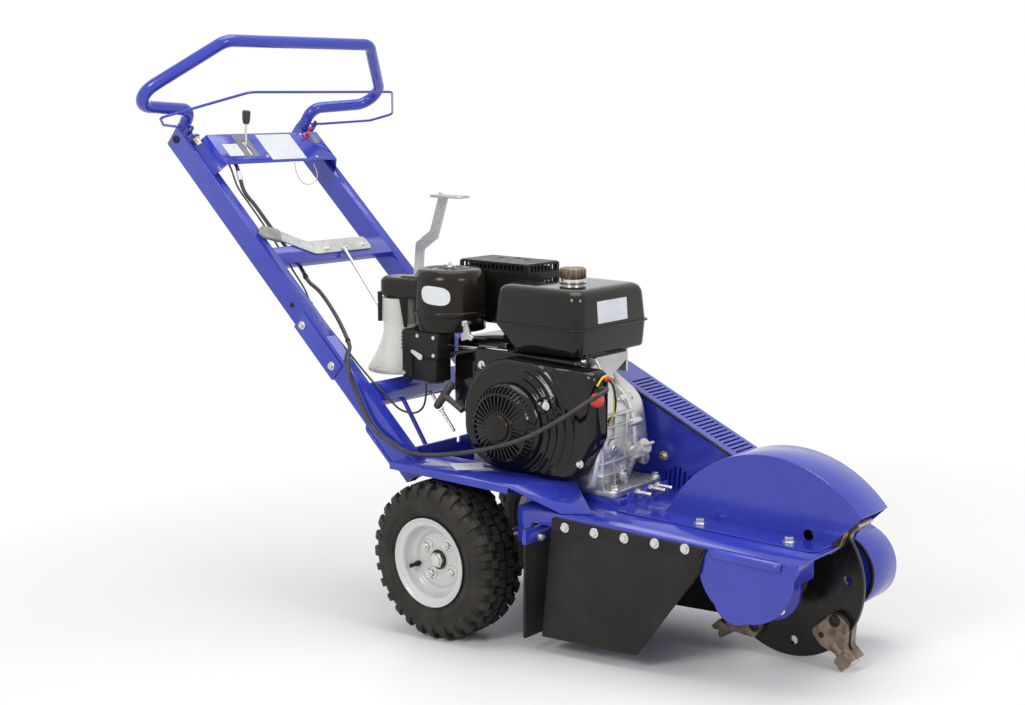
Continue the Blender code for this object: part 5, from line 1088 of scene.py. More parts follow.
def belt_guard():
    """Long guard of folded sheet round both pulleys, louvred on top and edged where it opens."""
    along = atan2(GUARD_FRONT[1] - GUARD_REAR[1], GUARD_FRONT[0] - GUARD_REAR[0])
    reach = hypot(GUARD_FRONT[0] - GUARD_REAR[0], GUARD_FRONT[1] - GUARD_REAR[1])
    lean = acos((GUARD_R[0] - GUARD_R[1]) / reach)
    normal = along + lean
    start = Vector((GUARD_REAR[0] + GUARD_R[0] * cos(normal), GUARD_REAR[1] + GUARD_R[0] * sin(normal)))
    finish_at = Vector((GUARD_FRONT[0] + GUARD_R[1] * cos(normal), GUARD_FRONT[1] + GUARD_R[1] * sin(normal)))
    length = (finish_at - start).length
    outline = hull(GUARD_REAR, GUARD_R[0], GUARD_FRONT, GUARD_R[1], 48)
    vents = []
    for k in range(6):
        x = 0.322 + 0.0118 * k
        top = 0.338 + 0.0035 * min(k, 5 - k) * 2
        vents.append([(x, 0.306), (x + 0.0042, 0.306), (x + 0.0082, top), (x + 0.004, top)])
    inside = slab(outline, (GUARD_Y[0], GUARD_Y[0] + SHEET), SIDEWAYS,
                  [circle(GUARD_REAR, 0.022, 40), circle(CUTTER_SHAFT, 0.022, 40), *vents], 0.0008)
    outside = slab(outline, (GUARD_Y[1] - SHEET, GUARD_Y[1]), SIDEWAYS, edge=0.0008)
    y = (GUARD_Y[0] + 0.0005, GUARD_Y[1] - 0.0005)
    pieces = [inside, outside]
    for centre, radius, low, high in ((GUARD_REAR, GUARD_R[0], normal, 2 * pi + along - lean),
                                      (GUARD_FRONT, GUARD_R[1], along - lean, normal)):
        outer = arc(centre, radius, degrees(low), degrees(high), 60)
        inner = arc(centre, radius - SHEET, degrees(low), degrees(high), 60)
        pieces.append(slab(outer + inner[::-1], y, SIDEWAYS, edge=0.0004))
    slope = Matrix(((cos(normal - pi / 2), 0, cos(normal), start.x), (0, 1, 0, 0),
                    (sin(normal - pi / 2), 0, sin(normal), start.y), (0, 0, 0, 1)))
    slots = []
    for k in range(SLOT_COUNT):
        u = 0.062 + SLOT_PITCH * k
        slots.append(rounded_box((u, u + SLOT_WIDTH), (y[0] + 0.016, y[1] - 0.01), 0.002, 3))
    sheet = [(0, y[0]), (length, y[0]), (length, y[1]), (0, y[1])]
    pieces.append(slab(sheet, (-SHEET, 0), slope, slots, 0.0005))
    low_normal = along - lean
    low_start = (GUARD_REAR[0] + GUARD_R[0] * cos(low_normal), GUARD_REAR[1] + GUARD_R[0] * sin(low_normal))
    low_end = (GUARD_FRONT[0] + GUARD_R[1] * cos(low_normal), GUARD_FRONT[1] + GUARD_R[1] * sin(low_normal))
    up = (-cos(low_normal) * SHEET, -sin(low_normal) * SHEET)
    pieces.append(slab([low_start, low_end, (low_end[0] + up[0], low_end[1] + up[1]),
                        (low_start[0] + up[0], low_start[1] + up[1])], y, SIDEWAYS, edge=0.0004))
    piece("belt_guard_sheets", joined(*pieces), BLUE, stands_for=["belt_guard"])
    ends = [start + (finish_at - start).normalized() * reach for reach in (0.035, 0.4)]
    trim = tube([Vector((end.x, GUARD_Y[0] - 0.0006, end.y - 0.004)) for end in ends], 0.003, 4)
    nose = [Vector((x, GUARD_Y[0] - 0.0006, z))
            for x, z in arc(GUARD_FRONT, GUARD_R[1] - 0.0034, degrees(along - lean), degrees(normal), 48)]
    piece("belt_guard_edging", joined(trim, tube(nose, 0.0034, 4)), PLASTIC)
    head = bolt((0.3216, GUARD_Y[0], 0.371), TO_RIGHT, 0.0125)
    piece("belt_guard_bolt", head, GOLD_ZINC)


def side_plates():
    """Bar welded along the right plate, the flaps' clamp strip and bolts, and the bearing's fittings."""
    bar = turned([(0, -0.072), (0.006, -0.0712), (0.0085, -0.067), (0.0095, -0.062), (0.0095, 0.062),
                  (0.0085, 0.067), (0.006, 0.0712), (0, 0.072)], 36,
                 Matrix.Translation((0.716, -0.2022, 0.299)) @ Matrix.Rotation(pi / 2, 4, "Y"))
    piece("side_plate_bar", bar, BLUE)
    face = -0.2063
    strip = slab([(0.2835, 0.299), (0.2835, 0.2745), (0.621, 0.286), (0.631, 0.3036)], (face - 0.0022, face),
                 SIDEWAYS, edge=0.0008)
    piece("flap_strip", strip, PLASTIC)
    spots = ((0.3156, 0.287), (0.386, 0.2895), (0.456, 0.2925), (0.525, 0.2955), (0.5914, 0.298))
    heads = [bolt((x, face - 0.0022, z), TO_RIGHT, 0.0115) for x, z in spots]
    heads.append(bolt((0.245, -0.1952, 0.2531), TO_FRONT, 0.011))
    heads.append(bolt((0.297, -0.18, 0.3113), TO_TOP, 0.012))
    heads.append(bolt((0.719, -0.0792, 0.176), TO_RIGHT, 0.0105))
    piece("flap_bolts", joined(*heads), ZINC)
    nipple = turned([(0, 0.0135), (0.0035, 0.013), (0.0052, 0.0105), (0.0056, 0.005), (0.0048, 0.0035),
                     (0.0048, 0), (0, 0)], 24, aim((0.739, -0.0792, 0.219), TO_RIGHT))
    piece("grease_cap", nipple, ORANGE)


def adjusters():
    """Threaded studs with their nuts and lug beside the hood, which set the belt's tension."""
    studs = []
    for x0, x1, y in ((0.3583, 0.395, 0.015), (0.3583, 0.395, 0.04), (0.3583, 0.393, -0.03)):
        start = Vector((x0, y, 0.329))
        along = Vector(TO_FRONT)
        reach = x1 - x0
        studs.append(rod(start, start + along * reach, 0.004, 20))
        studs.append(hexagon(start, along, 0.015, 0.007))
        studs += thread(start, along, 0.0085, int(reach / THREAD_PITCH) - 5, 0.0045)
    piece("belt_adjusters", joined(*studs), ZINC)


# Engine

CRANK = (0.133, 0.455)
DIPSTICK_SEAT = Vector((0.338, 0.02, 0.41))
DIPSTICK_LEAN = radians(31)
BOWL_CENTRE = (-0.246, -0.075)
CLEANER = (-0.123, -0.05)
ENGINE_FEET = [(x, y) for x in (-0.03, 0.332) for y in (-0.07, 0.07)]


def crankcase():
    """Cast crankcase in layers round the crank, with ribs, bosses, feet and the cylinder above it."""
    body = rounded([(-0.018, 0.33, 0.01), (0.3, 0.33, 0.02), (0.314, 0.395, 0.02), (0.306, 0.48, 0.03),
                    (0.235, 0.556, 0.05), (0.02, 0.556, 0.04), (-0.018, 0.5, 0.03)], 8)
    cover = rounded([(-0.008, 0.34, 0.03), (0.27, 0.338, 0.05), (0.302, 0.4, 0.06), (0.285, 0.5, 0.07),
                     (0.2, 0.552, 0.07), (0.04, 0.55, 0.06), (-0.008, 0.48, 0.05)], 8)
    flange = rounded([(-0.02, 0.326, 0.02), (0.288, 0.324, 0.04), (0.32, 0.398, 0.06), (0.304, 0.508, 0.08),
                      (0.206, 0.56, 0.08), (0.036, 0.56, 0.06), (-0.02, 0.486, 0.05)], 8)
    parts = [
        slab(body, (-0.0995, 0.02), SIDEWAYS, edge=0.008, steps=3),
        slab(flange, (0.018, 0.034), SIDEWAYS, edge=0.002, steps=2),
        slab(cover, (0.032, 0.0995), SIDEWAYS, edge=0.018, steps=4),
        slab(rounded_box((-0.04, 0.342), (-0.085, 0.085), 0.012), (0.3222, 0.336), edge=0.002, steps=2),
    ]
    for z in (0.362, 0.386, 0.436, 0.458, 0.48):
        parts.append(block((0.29, 0.3175), (-0.094, 0.012), (z, z + 0.0045), 0.0015))
    for y in (-0.088, -0.05, -0.012):
        parts.append(block((0.292, 0.317), (y, y + 0.005), (0.335, 0.478), 0.0015))
    for x, y in ENGINE_FEET:
        parts.append(rod((x, y, 0.335), (x, y, 0.3385), 0.011, 28))
    bosses = []
    for k in range(9):
        angle = radians(-70 + 26 * k)
        x = 0.16 + 0.15 * cos(angle)
        z = 0.44 + 0.112 * sin(angle)
        bosses.append(Vector((min(x, 0.311), 0, max(0.33, min(z, 0.554)))))
    for spot in bosses:
        parts.append(rod(spot + Vector((0, 0.004, 0)), spot + Vector((0, 0.046, 0)), 0.0085, 28, 0.0015))
    for k in range(6):
        z = 0.564 + 0.0058 * k
        parts.append(block((-0.106, 0.046), (-0.03, 0.0885), (z, z + 0.0026), 0.0008))
    for y in (-0.056, 0.08):
        parts.append(slab(rounded([(0.075, 0.545, 0.002), (0.249, 0.545, 0.002), (0.249, 0.6025, 0.004),
                                   (0.075, 0.6025, 0.004)]), (y, y + 0.006), SIDEWAYS, edge=0.001))
    neck = Vector((0.296, 0.02, 0.385))
    parts.append(rod(neck, DIPSTICK_SEAT, 0.0165, 36, 0.002, 0.0135))
    parts.append(rod((0.298, -0.052, 0.415), (0.317, -0.052, 0.415), 0.023, 40, 0.003, 0.019))
    parts.append(rod((0.296, -0.02, 0.356), (0.3185, -0.02, 0.356), 0.012, 32, 0.002))
    parts.append(rod((0.296, 0.07, 0.372), (0.31, 0.07, 0.372), 0.013, 32, 0.002))
    piece("crankcase_casting", joined(*parts), ALLOY, stands_for=["engine_block"])
    screws = [bolt((x, y, 0.3385), TO_TOP, 0.0125) for x, y in ENGINE_FEET]
    for spot in bosses:
        screws.append(hexagon(spot + Vector((0, 0.004, 0)), TO_RIGHT, 0.0105, 0.006))
    screws.append(bolt((0.3185, -0.02, 0.356), TO_FRONT, 0.012))
    screws.append(screw_head((0.317, -0.052, 0.415), TO_FRONT, 0.0075, 0.002))
    piece("crankcase_screws", joined(*screws), ZINC)
    shroud = [block((-0.109, 0.049), (-0.059, 0.089), (0.436, 0.563), 0.012, 4),
              block((-0.1, 0.044), (-0.0588, 0.084), (0.556, 0.599), 0.01, 4),
              block((-0.016, 0.262), (-0.0999, -0.054), (0.53, 0.5925), 0.012, 4)]
    piece("cylinder_shroud", joined(*shroud), BLACK)


def cover_edge():
    """Outline of the fan cover in x and z."""
    return rounded([(0.008, 0.36, 0.085), (0.285, 0.36, 0.025), (0.335, 0.45, 0.025), (0.335, 0.582, 0.02),
                    (0.008, 0.59, 0.11)], 12)


def edge_distance(angle, outline):
    """Distance from the crank to the outline in a direction."""
    direction = Vector((cos(angle), sin(angle)))
    best = 0.0
    for k in range(len(outline)):
        a = Vector(outline[k - 1]) - Vector(CRANK)
        b = Vector(outline[k]) - Vector(CRANK)
        span = b - a
        cross = direction.x * span.y - direction.y * span.x
        if abs(cross) < 1e-12:
            continue
        reach = (a.x * span.y - a.y * span.x) / cross
        share = (a.x * direction.y - a.y * direction.x) / cross
        if reach > 0 and -1e-6 <= share <= 1 + 1e-6:
            best = max(best, reach)
    return best


def smooth_step(value, low, high):
    """Smooth rise from 0 to 1 between two values."""
    t = max(0.0, min(1.0, (value - low) / (high - low)))
    return t * t * (3 - 2 * t)


def cover_depth(radius, angle, edge):
    """How far the cover's face stands out at a point, with rings round the starter and a soft rim."""
    x = CRANK[0] + radius * cos(angle)
    z = CRANK[1] + radius * sin(angle)
    depth = 0.06 - 0.014 * smooth_step(x, 0.235, 0.3)
    for ring, height in ((0.0985, 0.005), (0.115, 0.005), (0.132, 0.0046), (0.15, 0.004)):
        depth -= height * (1 - smooth_step(abs(radius - ring), 0.001, 0.0075)) * smooth_step(x, 0.145, 0.195)
    brow = smooth_step(z, 0.5, 0.56) * 0.006
    depth -= brow * (1 - smooth_step(x, 0.26, 0.3))
    rim_width = 0.016
    inward = edge - radius
    if inward < rim_width:
        depth -= rim_width - sqrt(max(0.0, rim_width ** 2 - (rim_width - inward) ** 2))
    return max(depth, 0.004)


def fan_cover():
    """Pressed cover over the flywheel, with rings round the starter, a pressed oval and its screws."""
    outline = cover_edge()
    steps = 220
    rings = 46
    bm = bmesh.new()
    grid = []
    for i in range(rings + 1):
        row = []
        for k in range(steps):
            angle = 2 * pi * k / steps
            edge = edge_distance(angle, outline)
            share = (i / rings) ** 0.85
            radius = 0.06 + (edge - 0.06) * share
            x = CRANK[0] + radius * cos(angle)
            z = CRANK[1] + radius * sin(angle)
            row.append(bm.verts.new((x, -0.1 - cover_depth(radius, angle, edge), z)))
        grid.append(row)
    skirt = [bm.verts.new((v.co.x, -0.1003, v.co.z)) for v in grid[-1]]
    grid.append(skirt)
    for low, high in zip(grid, grid[1:]):
        for k in range(steps):
            bm.faces.new((low[k - 1], low[k], high[k], high[k - 1]))
    shell = from_bmesh(bm)
    emboss = [Vector((x, -0.159, z)) for x, z in oval(0.228, 0.507, 0.0235, 0.0165, 48)]
    ring = tube(emboss + emboss[:2], 0.0022, 4)
    flange = slab([(x, z) for x, z in outline], (-0.1085, -0.1003), SIDEWAYS, edge=0.0012)
    piece("fan_cover_pressing", joined(shell, ring, flange), BLACK, stands_for=["fan_cover"], angle=60)
    heads = [bolt((0.228, -0.159, 0.507), TO_RIGHT, 0.0105)]
    for x, z in ((0.046, 0.566), (0.3, 0.398)):
        heads.append(bolt((x, -0.142, z), TO_RIGHT, 0.01))
    piece("fan_cover_screws", joined(*heads), ZINC)


def recoil():
    """Starter housing with rings of radial louvres round its plain cap."""
    back = -0.1603
    place = aim((CRANK[0], back, CRANK[1]), TO_RIGHT)
    profile = [(0, 0.0335), (0.032, 0.0335), (0.0335, 0.035), (0.0352, 0.035), (0.0365, 0.03),
               (0.064, 0.0272), (0.0655, 0.0305), (0.069, 0.029), (0.0705, 0.0215), (0.079, 0.013),
               (0.0805, 0.015), (0.0845, 0.011), (0.087, 0.006), (0.0878, 0)]
    base = turned(profile, 128, place)
    fins = []
    for k in range(36):
        turn = Matrix.Rotation(2 * pi * k / 36, 4, "Z")
        fin = slab([(0.035, 0.029), (0.0655, 0.0262), (0.0655, 0.031), (0.06, 0.0325), (0.035, 0.0352)],
                   (-0.0017, 0.0017), SIDEWAYS, edge=0.0006)
        fins.append(moved(fin, place @ turn))
    for k in range(48):
        turn = Matrix.Rotation(2 * pi * (k + 0.5) / 48, 4, "Z")
        fin = slab([(0.069, 0.02), (0.08, 0.012), (0.0812, 0.016), (0.075, 0.0235), (0.069, 0.0282)],
                   (-0.0016, 0.0016), SIDEWAYS, edge=0.0006)
        fins.append(moved(fin, place @ turn))
    cap = turned([(0, 0.04), (0.023, 0.0396), (0.0262, 0.0388), (0.0275, 0.037), (0.0285, 0.033), (0, 0.033)],
                 96, place)
    piece("starter_housing", joined(base, *fins), BLACK, stands_for=["recoil_housing"])
    piece("starter_cap", cap, SHELL)


def starter_grip():
    """T-shaped grip with its stem."""
    centre = Vector((-0.046, -0.155, 0.493))
    lean = radians(27)
    pull = Vector((-cos(lean), 0, sin(lean)))
    twist = radians(20)
    across = Vector((pull.z * cos(twist), sin(twist), -pull.x * cos(twist)))
    profile = [(0, -0.033), (0.0045, -0.0325), (0.0072, -0.03), (0.0086, -0.025), (0.0084, -0.013),
               (0.0092, 0.0), (0.0084, 0.013), (0.0086, 0.025), (0.0072, 0.03), (0.0045, 0.0325), (0, 0.033)]
    bar = turned(profile, 36, aim(centre, across))
    stem = turned([(0, 0), (0.0085, 0.004), (0.0065, 0.014), (0.0058, 0.03), (0.0064, 0.0545),
                   (0.0064, 0.0568), (0, 0.0568)], 32, aim(centre, -pull))
    piece("starter_grip_moulding", joined(bar, stem), GRIP_BLACK, "starter_grip", stands_for=["starter_grip"])


def fuel_tank():
    """Pressed tank in two halves with a seam, a pad, a neck, and a plain plate on its front end."""
    low, seam, top = 0.595, 0.651, 0.728
    steps = 10

    def ring(rear, around, corner):
        x = (0.032 + rear, 0.27 - around)
        y = (-0.11 + around, 0.142 - around)
        return rounded_box(x, y, corner, steps)

    sections = [(ring(0.072, 0.0165, 0.016), low), (ring(0.065, 0.0118, 0.019), low + 0.0012),
                (ring(0.059, 0.0092, 0.021), low + 0.0038), (ring(0.0545, 0.008, 0.0225), low + 0.007),
                (ring(0.005, 0.0046, 0.024), seam), (ring(0.0085, 0.0085, 0.026), top - 0.024),
                (ring(0.0095, 0.0095, 0.026), top - 0.017), (ring(0.012, 0.012, 0.0255), top - 0.0105),
                (ring(0.016, 0.016, 0.0235), top - 0.0054), (ring(0.022, 0.022, 0.02), top - 0.002),
                (ring(0.029, 0.029, 0.017), top - 0.0002), (ring(0.038, 0.038, 0.014), top)]
    body = lofted(sections)
    flange = slab(ring(0, 0, 0.026), (seam - 0.002, seam + 0.002), edge=0.001)
    saddle = slab(rounded_box((0.058, 0.11), (-0.066, -0.01), 0.012), (top - 0.001, top + 0.001), edge=0.0009)
    piece("fuel_tank_shell", joined(body, flange, saddle), BLACK, stands_for=["fuel_tank"], angle=50)
    neck = turned([(0.0225, -0.002), (0.0275, 0.0005), (0.0278, 0.0022), (0.0236, 0.0035), (0.0232, 0.0085),
                   (0.0205, 0.0088), (0.0205, -0.002)], 64, Matrix.Translation((0.154, 0.02, top)))
    piece("fuel_neck", neck, ZINC)
    plate_turn = Matrix.Translation((0.2654, 0, seam)) @ Matrix.Rotation(radians(-4.6), 4, "Y")
    plate = slab(rounded_box((-0.04, 0.06), (0.0085, 0.053), 0.002, 3), (0, 0.0006), plate_turn @ ACROSS,
                 edge=0.0002)
    piece("tank_plate", plate, PALE)


def fuel_cap():
    """Ribbed cap with a rolled top edge."""
    place = Matrix.Translation((0.154, 0.02, 0.7373))
    profile = [(0, 0), (0.0255, 0), (0.0262, 0.0012), (0.0262, 0.018), (0.0258, 0.0206), (0.024, 0.0217),
               (0.0225, 0.0206), (0.012, 0.02), (0.0105, 0.0208), (0, 0.0208)]
    body = turned(profile, 96, place)
    ribs = []
    for k in range(18):
        turn = Matrix.Rotation(2 * pi * k / 18, 4, "Z")
        rib = block((0.025, 0.028), (-0.0027, 0.0027), (0.0012, 0.0196), 0.0012)
        ribs.append(moved(rib, place @ turn))
    piece("fuel_cap_metal", joined(body, *ribs), CAP_BROWN, "fuel_cap", stands_for=["fuel_cap"])


def air_cleaner():
    """Drum with a chamfered lid, band, wing nut and blank plate, and the duct to the dust bowl."""
    low = 0.615
    place = Matrix.Translation((*CLEANER, low))
    profile = [(0, 0.1285), (0.023, 0.1285), (0.026, 0.127), (0.03, 0.129), (0.059, 0.1295), (0.065, 0.1282),
               (0.069, 0.1245), (0.0742, 0.1145), (0.0756, 0.109), (0.0775, 0.042), (0.0795, 0.0408),
               (0.08, 0.039), (0.08, 0.033), (0.079, 0.0312), (0.0772, 0.0305), (0.0765, 0.001),
               (0.0755, 0), (0, 0)]
    drum = turned(profile, 112, place)
    lug = [block((-0.148, -0.098), (-0.056, -0.044), (0.74, 0.7446), 0.0015),
           block((-0.206, -0.197), (-0.062, -0.038), (0.633, 0.656), 0.002)]
    stadium = arc(BOWL_CENTRE, 0.043, 60, 262, 40)
    stadium += [(-0.2, -0.112), (-0.165, -0.112), (-0.165, -0.027), (-0.2, -0.03)]
    duct = slab(stadium, (0.6755, 0.7205), edge=0.014, steps=5)
    saddle = block((-0.232, -0.16), (-0.099, -0.042), (0.69, 0.7245), 0.01, 4)
    piece("air_cleaner_drum", joined(drum, duct, saddle, *lug), SHELL, stands_for=["air_cleaner"], angle=45)
    stud = [rod((*CLEANER, 0.7435), (*CLEANER, top), radius, sides)
            for top, radius, sides in ((0.76, 0.003, 20), (0.749, 0.0065, 28))]
    wing = [block((-0.14, -0.106), (-0.0515, -0.0485), (0.7465, 0.752), 0.0012)]
    piece("air_cleaner_wing_nut", joined(*stud, *wing), ZINC)
    centre_angle = radians(-73)
    rings = []
    bm = bmesh.new()
    for share in (0.0, 0.25, 0.5, 0.75, 1.0):
        row = []
        for k in range(56):
            t = 2 * pi * k / 56
            u = 0.034 * abs(cos(t)) ** 0.62 * (1 if cos(t) >= 0 else -1) * share
            v = 0.0195 * abs(sin(t)) ** 0.8 * (1 if sin(t) >= 0 else -1) * share - u * 0.08
            angle = centre_angle + u / 0.077
            x, y = (middle + 0.0778 * turn(angle) for middle, turn in zip(CLEANER, (cos, sin)))
            row.append(bm.verts.new((x, y, 0.6935 + v)))
        rings.append(row)
    for a, b in zip(rings, rings[1:]):
        for k in range(56):
            bm.faces.new((a[k - 1], a[k], b[k], b[k - 1]))
    bmesh.ops.remove_doubles(bm, verts=bm.verts, dist=0.00001)
    piece("air_cleaner_plate", from_bmesh(bm), PALE)


def oval(x, y, half_length, half_width, steps=72):
    """Closed outline of an ellipse."""
    return [(x + half_length * cos(2 * pi * k / steps), y + half_width * sin(2 * pi * k / steps))
            for k in range(steps)]


def dust_bowl():
    """Milky bowl flared to an oval foot, with a mesh cartridge in its upper part and two black clips."""
    x, y = BOWL_CENTRE
    low, waist, top = 0.51, 0.605, 0.675

    def wall(share, inset):
        """Outline at a share of the way from the foot to the waist."""
        ease = 1 - (1 - share) ** 1.5
        length = 0.062 + (0.038 - 0.062) * ease - inset
        width = 0.05 + (0.038 - 0.05) * ease - inset
        return oval(x - 0.017 * (1 - ease), y - 0.005 * (1 - ease), length, width)

    levels = [(k / 12, low + 0.01 + (waist - low - 0.01) * k / 12) for k in range(13)]
    outer = [(wall(0, 0.0015), low), (wall(0, 0), low + 0.002)] + [(wall(share, 0), z) for share, z in levels]
    outer.append((oval(x, y, 0.0398, 0.0398), top - 0.0004))
    inner = [(oval(x, y, 0.0378, 0.0378), top - 0.0004)]
    inner += [(wall(share, 0.002), z) for share, z in levels[::-1]]
    inner.append((wall(0, 0.0035), low + 0.004))
    piece("dust_bowl_moulding", lofted(outer + inner), BOWL, stands_for=["dust_bowl"], angle=45)
    ring = slab(wall(0, -0.0006), (low + 0.0004, low + 0.0085), edge=0.0012, steps=2)
    piece("dust_bowl_foot", ring, FOOT_GREY)
    place = Matrix.Translation((x, y, 0))
    cartridge = turned([(0, 0.618), (0.0345, 0.618), (0.0355, 0.62), (0.0366, top - 0.001), (0, top - 0.001)],
                       72, place)
    piece("dust_cartridge", cartridge, MESH)
    left = slab([(-0.0045, 0.686), (0.0045, 0.686), (0.0032, 0.6215), (-0.0032, 0.6215)], (0.04, 0.05),
                ACROSS, edge=0.001)
    right = slab([(-0.009, 0.683), (0.011, 0.683), (0.0095, 0.613), (0.002, 0.613)], (0.0394, 0.044),
                 ACROSS, edge=0.001)
    clips = [moved(left, place @ Matrix.Rotation(radians(-140), 4, "Z")),
             moved(right, place @ Matrix.Rotation(radians(-40), 4, "Z"))]
    piece("dust_bowl_clips", joined(*clips), PLASTIC)


def muffler():
    """Silencer in a shield with a band of slots round its head, holes in its top and a stub to the engine."""
    low, top = 0.62, 0.754
    x = (-0.172, 0.021)
    y = (0.036, 0.145)
    sheet = 0.0022
    pitch = 0.0115
    core = block((x[0] + 0.006, x[1] - 0.006), (y[0] + 0.006, y[1] - 0.006), (low + 0.004, top - 0.01),
                 0.014, 4)
    stub = block((-0.06, -0.02), (0.05, 0.08), (0.6003, 0.634), 0.003)
    band = (top - 0.02, top - 0.005)
    long_slots = [rounded_box((x[0] + 0.012 + pitch * k, x[0] + 0.019 + pitch * k), band, 0.0022, 3)
                  for k in range(15)]
    end_slots = [rounded_box((y[0] + 0.011 + pitch * k, y[0] + 0.018 + pitch * k), band, 0.0022, 3)
                 for k in range(8)]
    walls = [slab(rounded_box(x, (low, top - 0.0016), 0.004), depth, SIDEWAYS, long_slots, 0.0008)
             for depth in ((y[0], y[0] + sheet), (y[1] - sheet, y[1]))]
    walls += [slab(rounded_box(y, (low, top - 0.0016), 0.004), depth, ACROSS, end_slots, 0.0008)
              for depth in ((x[0], x[0] + sheet), (x[1] - sheet, x[1]))]
    holes = [circle(spot, 0.0075, 24) for spot in ((-0.118, 0.112), (-0.078, 0.122), (-0.04, 0.108))]
    lid = slab(rounded_box(x, y, 0.01), (top - 0.003, top), holes=holes, edge=0.0014, steps=2)
    piece("muffler_shield", joined(lid, *walls), HEAT, stands_for=["muffler"])
    piece("muffler_core", joined(core, stub), HEAT)


def carburettor():
    """Carburettor under the air cleaner, with its bowl, screws, elbow and the governor's linkage."""
    body = [block((-0.196, -0.094), (-0.1245, -0.065), (0.556, 0.614), 0.005, 3),
            block((-0.186, -0.104), (-0.118, -0.066), (0.504, 0.56), 0.007, 3),
            block((-0.199, -0.168), (-0.124, -0.07), (0.51, 0.6145), 0.006, 3),
            rod((-0.128, -0.092, 0.501), (-0.128, -0.092, 0.51), 0.02, 36, 0.003)]
    for z in (0.572, 0.58, 0.588, 0.596, 0.604):
        body.append(block((-0.1975, -0.1665), (-0.1252, -0.085), (z, z + 0.0034), 0.001))
    piece("carburettor_body", joined(*body), PLASTIC, stands_for=["carburettor"])
    bright = [screw_head((x, -0.1245, z), TO_RIGHT, 0.0042, 0.0022)
              for x, z in ((-0.19, 0.52), (-0.104, 0.604), (-0.104, 0.566), (-0.15, 0.604))]
    bright.append(rod((-0.094, -0.09, 0.586), (0.075, -0.093, 0.5925), 0.0016, 12))
    bright.append(rod((-0.094, -0.082, 0.579), (0.03, -0.085, 0.588), 0.0009, 10))
    piece("carburettor_screws", joined(*bright), ZINC)
    alloy = [slab(rounded([(-0.062, 0.64, 0.003), (-0.048, 0.642, 0.003), (-0.036, 0.612, 0.003),
                           (-0.026, 0.608, 0.003), (-0.034, 0.6, 0.002), (-0.044, 0.602, 0.003),
                           (-0.062, 0.596, 0.003)]), (-0.085, -0.079), SIDEWAYS, edge=0.0012),
             rod((-0.054, -0.088, 0.635), (-0.054, -0.056, 0.635), 0.006, 24)]
    piece("governor_arm", joined(*alloy), ALLOY)
    pivot = (-0.14, 0.56)
    arm = slab(hull(pivot, 0.007, (pivot[0] - 0.022, pivot[1] + 0.01), 0.004, 20), (-0.1293, -0.1253),
               SIDEWAYS, edge=0.001)
    head = screw_head((pivot[0], -0.129, pivot[1]), TO_RIGHT, 0.004, 0.002)
    piece("choke_arm", joined(arm, head), ZINC, "choke_lever", stands_for=["choke_lever"])


def spring(start, end, radius, wire, turns):
    """Coil spring between two points."""
    start, end = Vector(start), Vector(end)
    place = aim(start, end - start)
    length = (end - start).length
    count = turns * 12
    path = [place @ Vector((radius * cos(2 * pi * k / 12), radius * sin(2 * pi * k / 12), length * k / count))
            for k in range(count + 1)]
    return tube(path, wire, 2)


def engine_details():
    """Governor's spring, bracket and gusset under the tank, the fuel hose, and the wires at the switch."""
    bright = [spring((-0.01, -0.083, 0.589), (0.04, -0.084, 0.592), 0.0035, 0.0006, 14)]
    bright.append(slab(rounded([(0.262, 0.556, 0.003), (0.3, 0.556, 0.004), (0.276, 0.592, 0.003),
                                (0.236, 0.593, 0.003)]), (-0.062, -0.058), SIDEWAYS, edge=0.0008))
    bright.append(bolt((0.272, -0.062, 0.572), TO_RIGHT, 0.011))
    bright.append(rod((0.244, -0.084, 0.587), (0.264, -0.078, 0.588), 0.005, 24))
    piece("tank_brackets", joined(*bright), ALLOY)
    outline = rounded([(-0.048, 0.593, 0.003), (0.064, 0.593, 0.006), (0.05, 0.574, 0.006),
                       (0.004, 0.548, 0.02), (-0.016, 0.506, 0.006), (-0.048, 0.5, 0.004)])
    gusset = slab(outline, (0.264, 0.268), ACROSS, edge=0.001)
    piece("tank_gusset", gusset, DULL_ZINC)
    hose = smooth_path([(0.1, -0.072, 0.592), (0.06, -0.08, 0.588), (0.01, -0.076, 0.585),
                        (-0.04, -0.074, 0.578), (-0.094, -0.08, 0.566)], 0.008)
    piece("fuel_hose", tube(hose, 0.0042, 4), RUBBER_HOSE)
    wires = (
        ("yellow", YELLOW, [(0.3353, -0.136, 0.556), (0.341, -0.126, 0.572), (0.343, -0.11, 0.572),
                            (0.345, -0.096, 0.548), (0.344, -0.091, 0.516), (0.338, -0.088, 0.49),
                            (0.318, -0.08, 0.462)]),
        ("dark", PLASTIC, [(0.3353, -0.132, 0.56), (0.343, -0.118, 0.568), (0.347, -0.102, 0.556),
                           (0.348, -0.093, 0.528), (0.343, -0.088, 0.5), (0.32, -0.08, 0.474)]),
    )
    for name, mat, route in wires:
        piece("switch_wire_" + name, tube(smooth_path(route, 0.006), 0.002, 3), mat)
    sleeve = tube(smooth_path([(0.343, -0.123, 0.568), (0.344, -0.114, 0.57), (0.344, -0.105, 0.564)], 0.004),
                  0.0046, 4)
    piece("switch_connector", sleeve, RED)


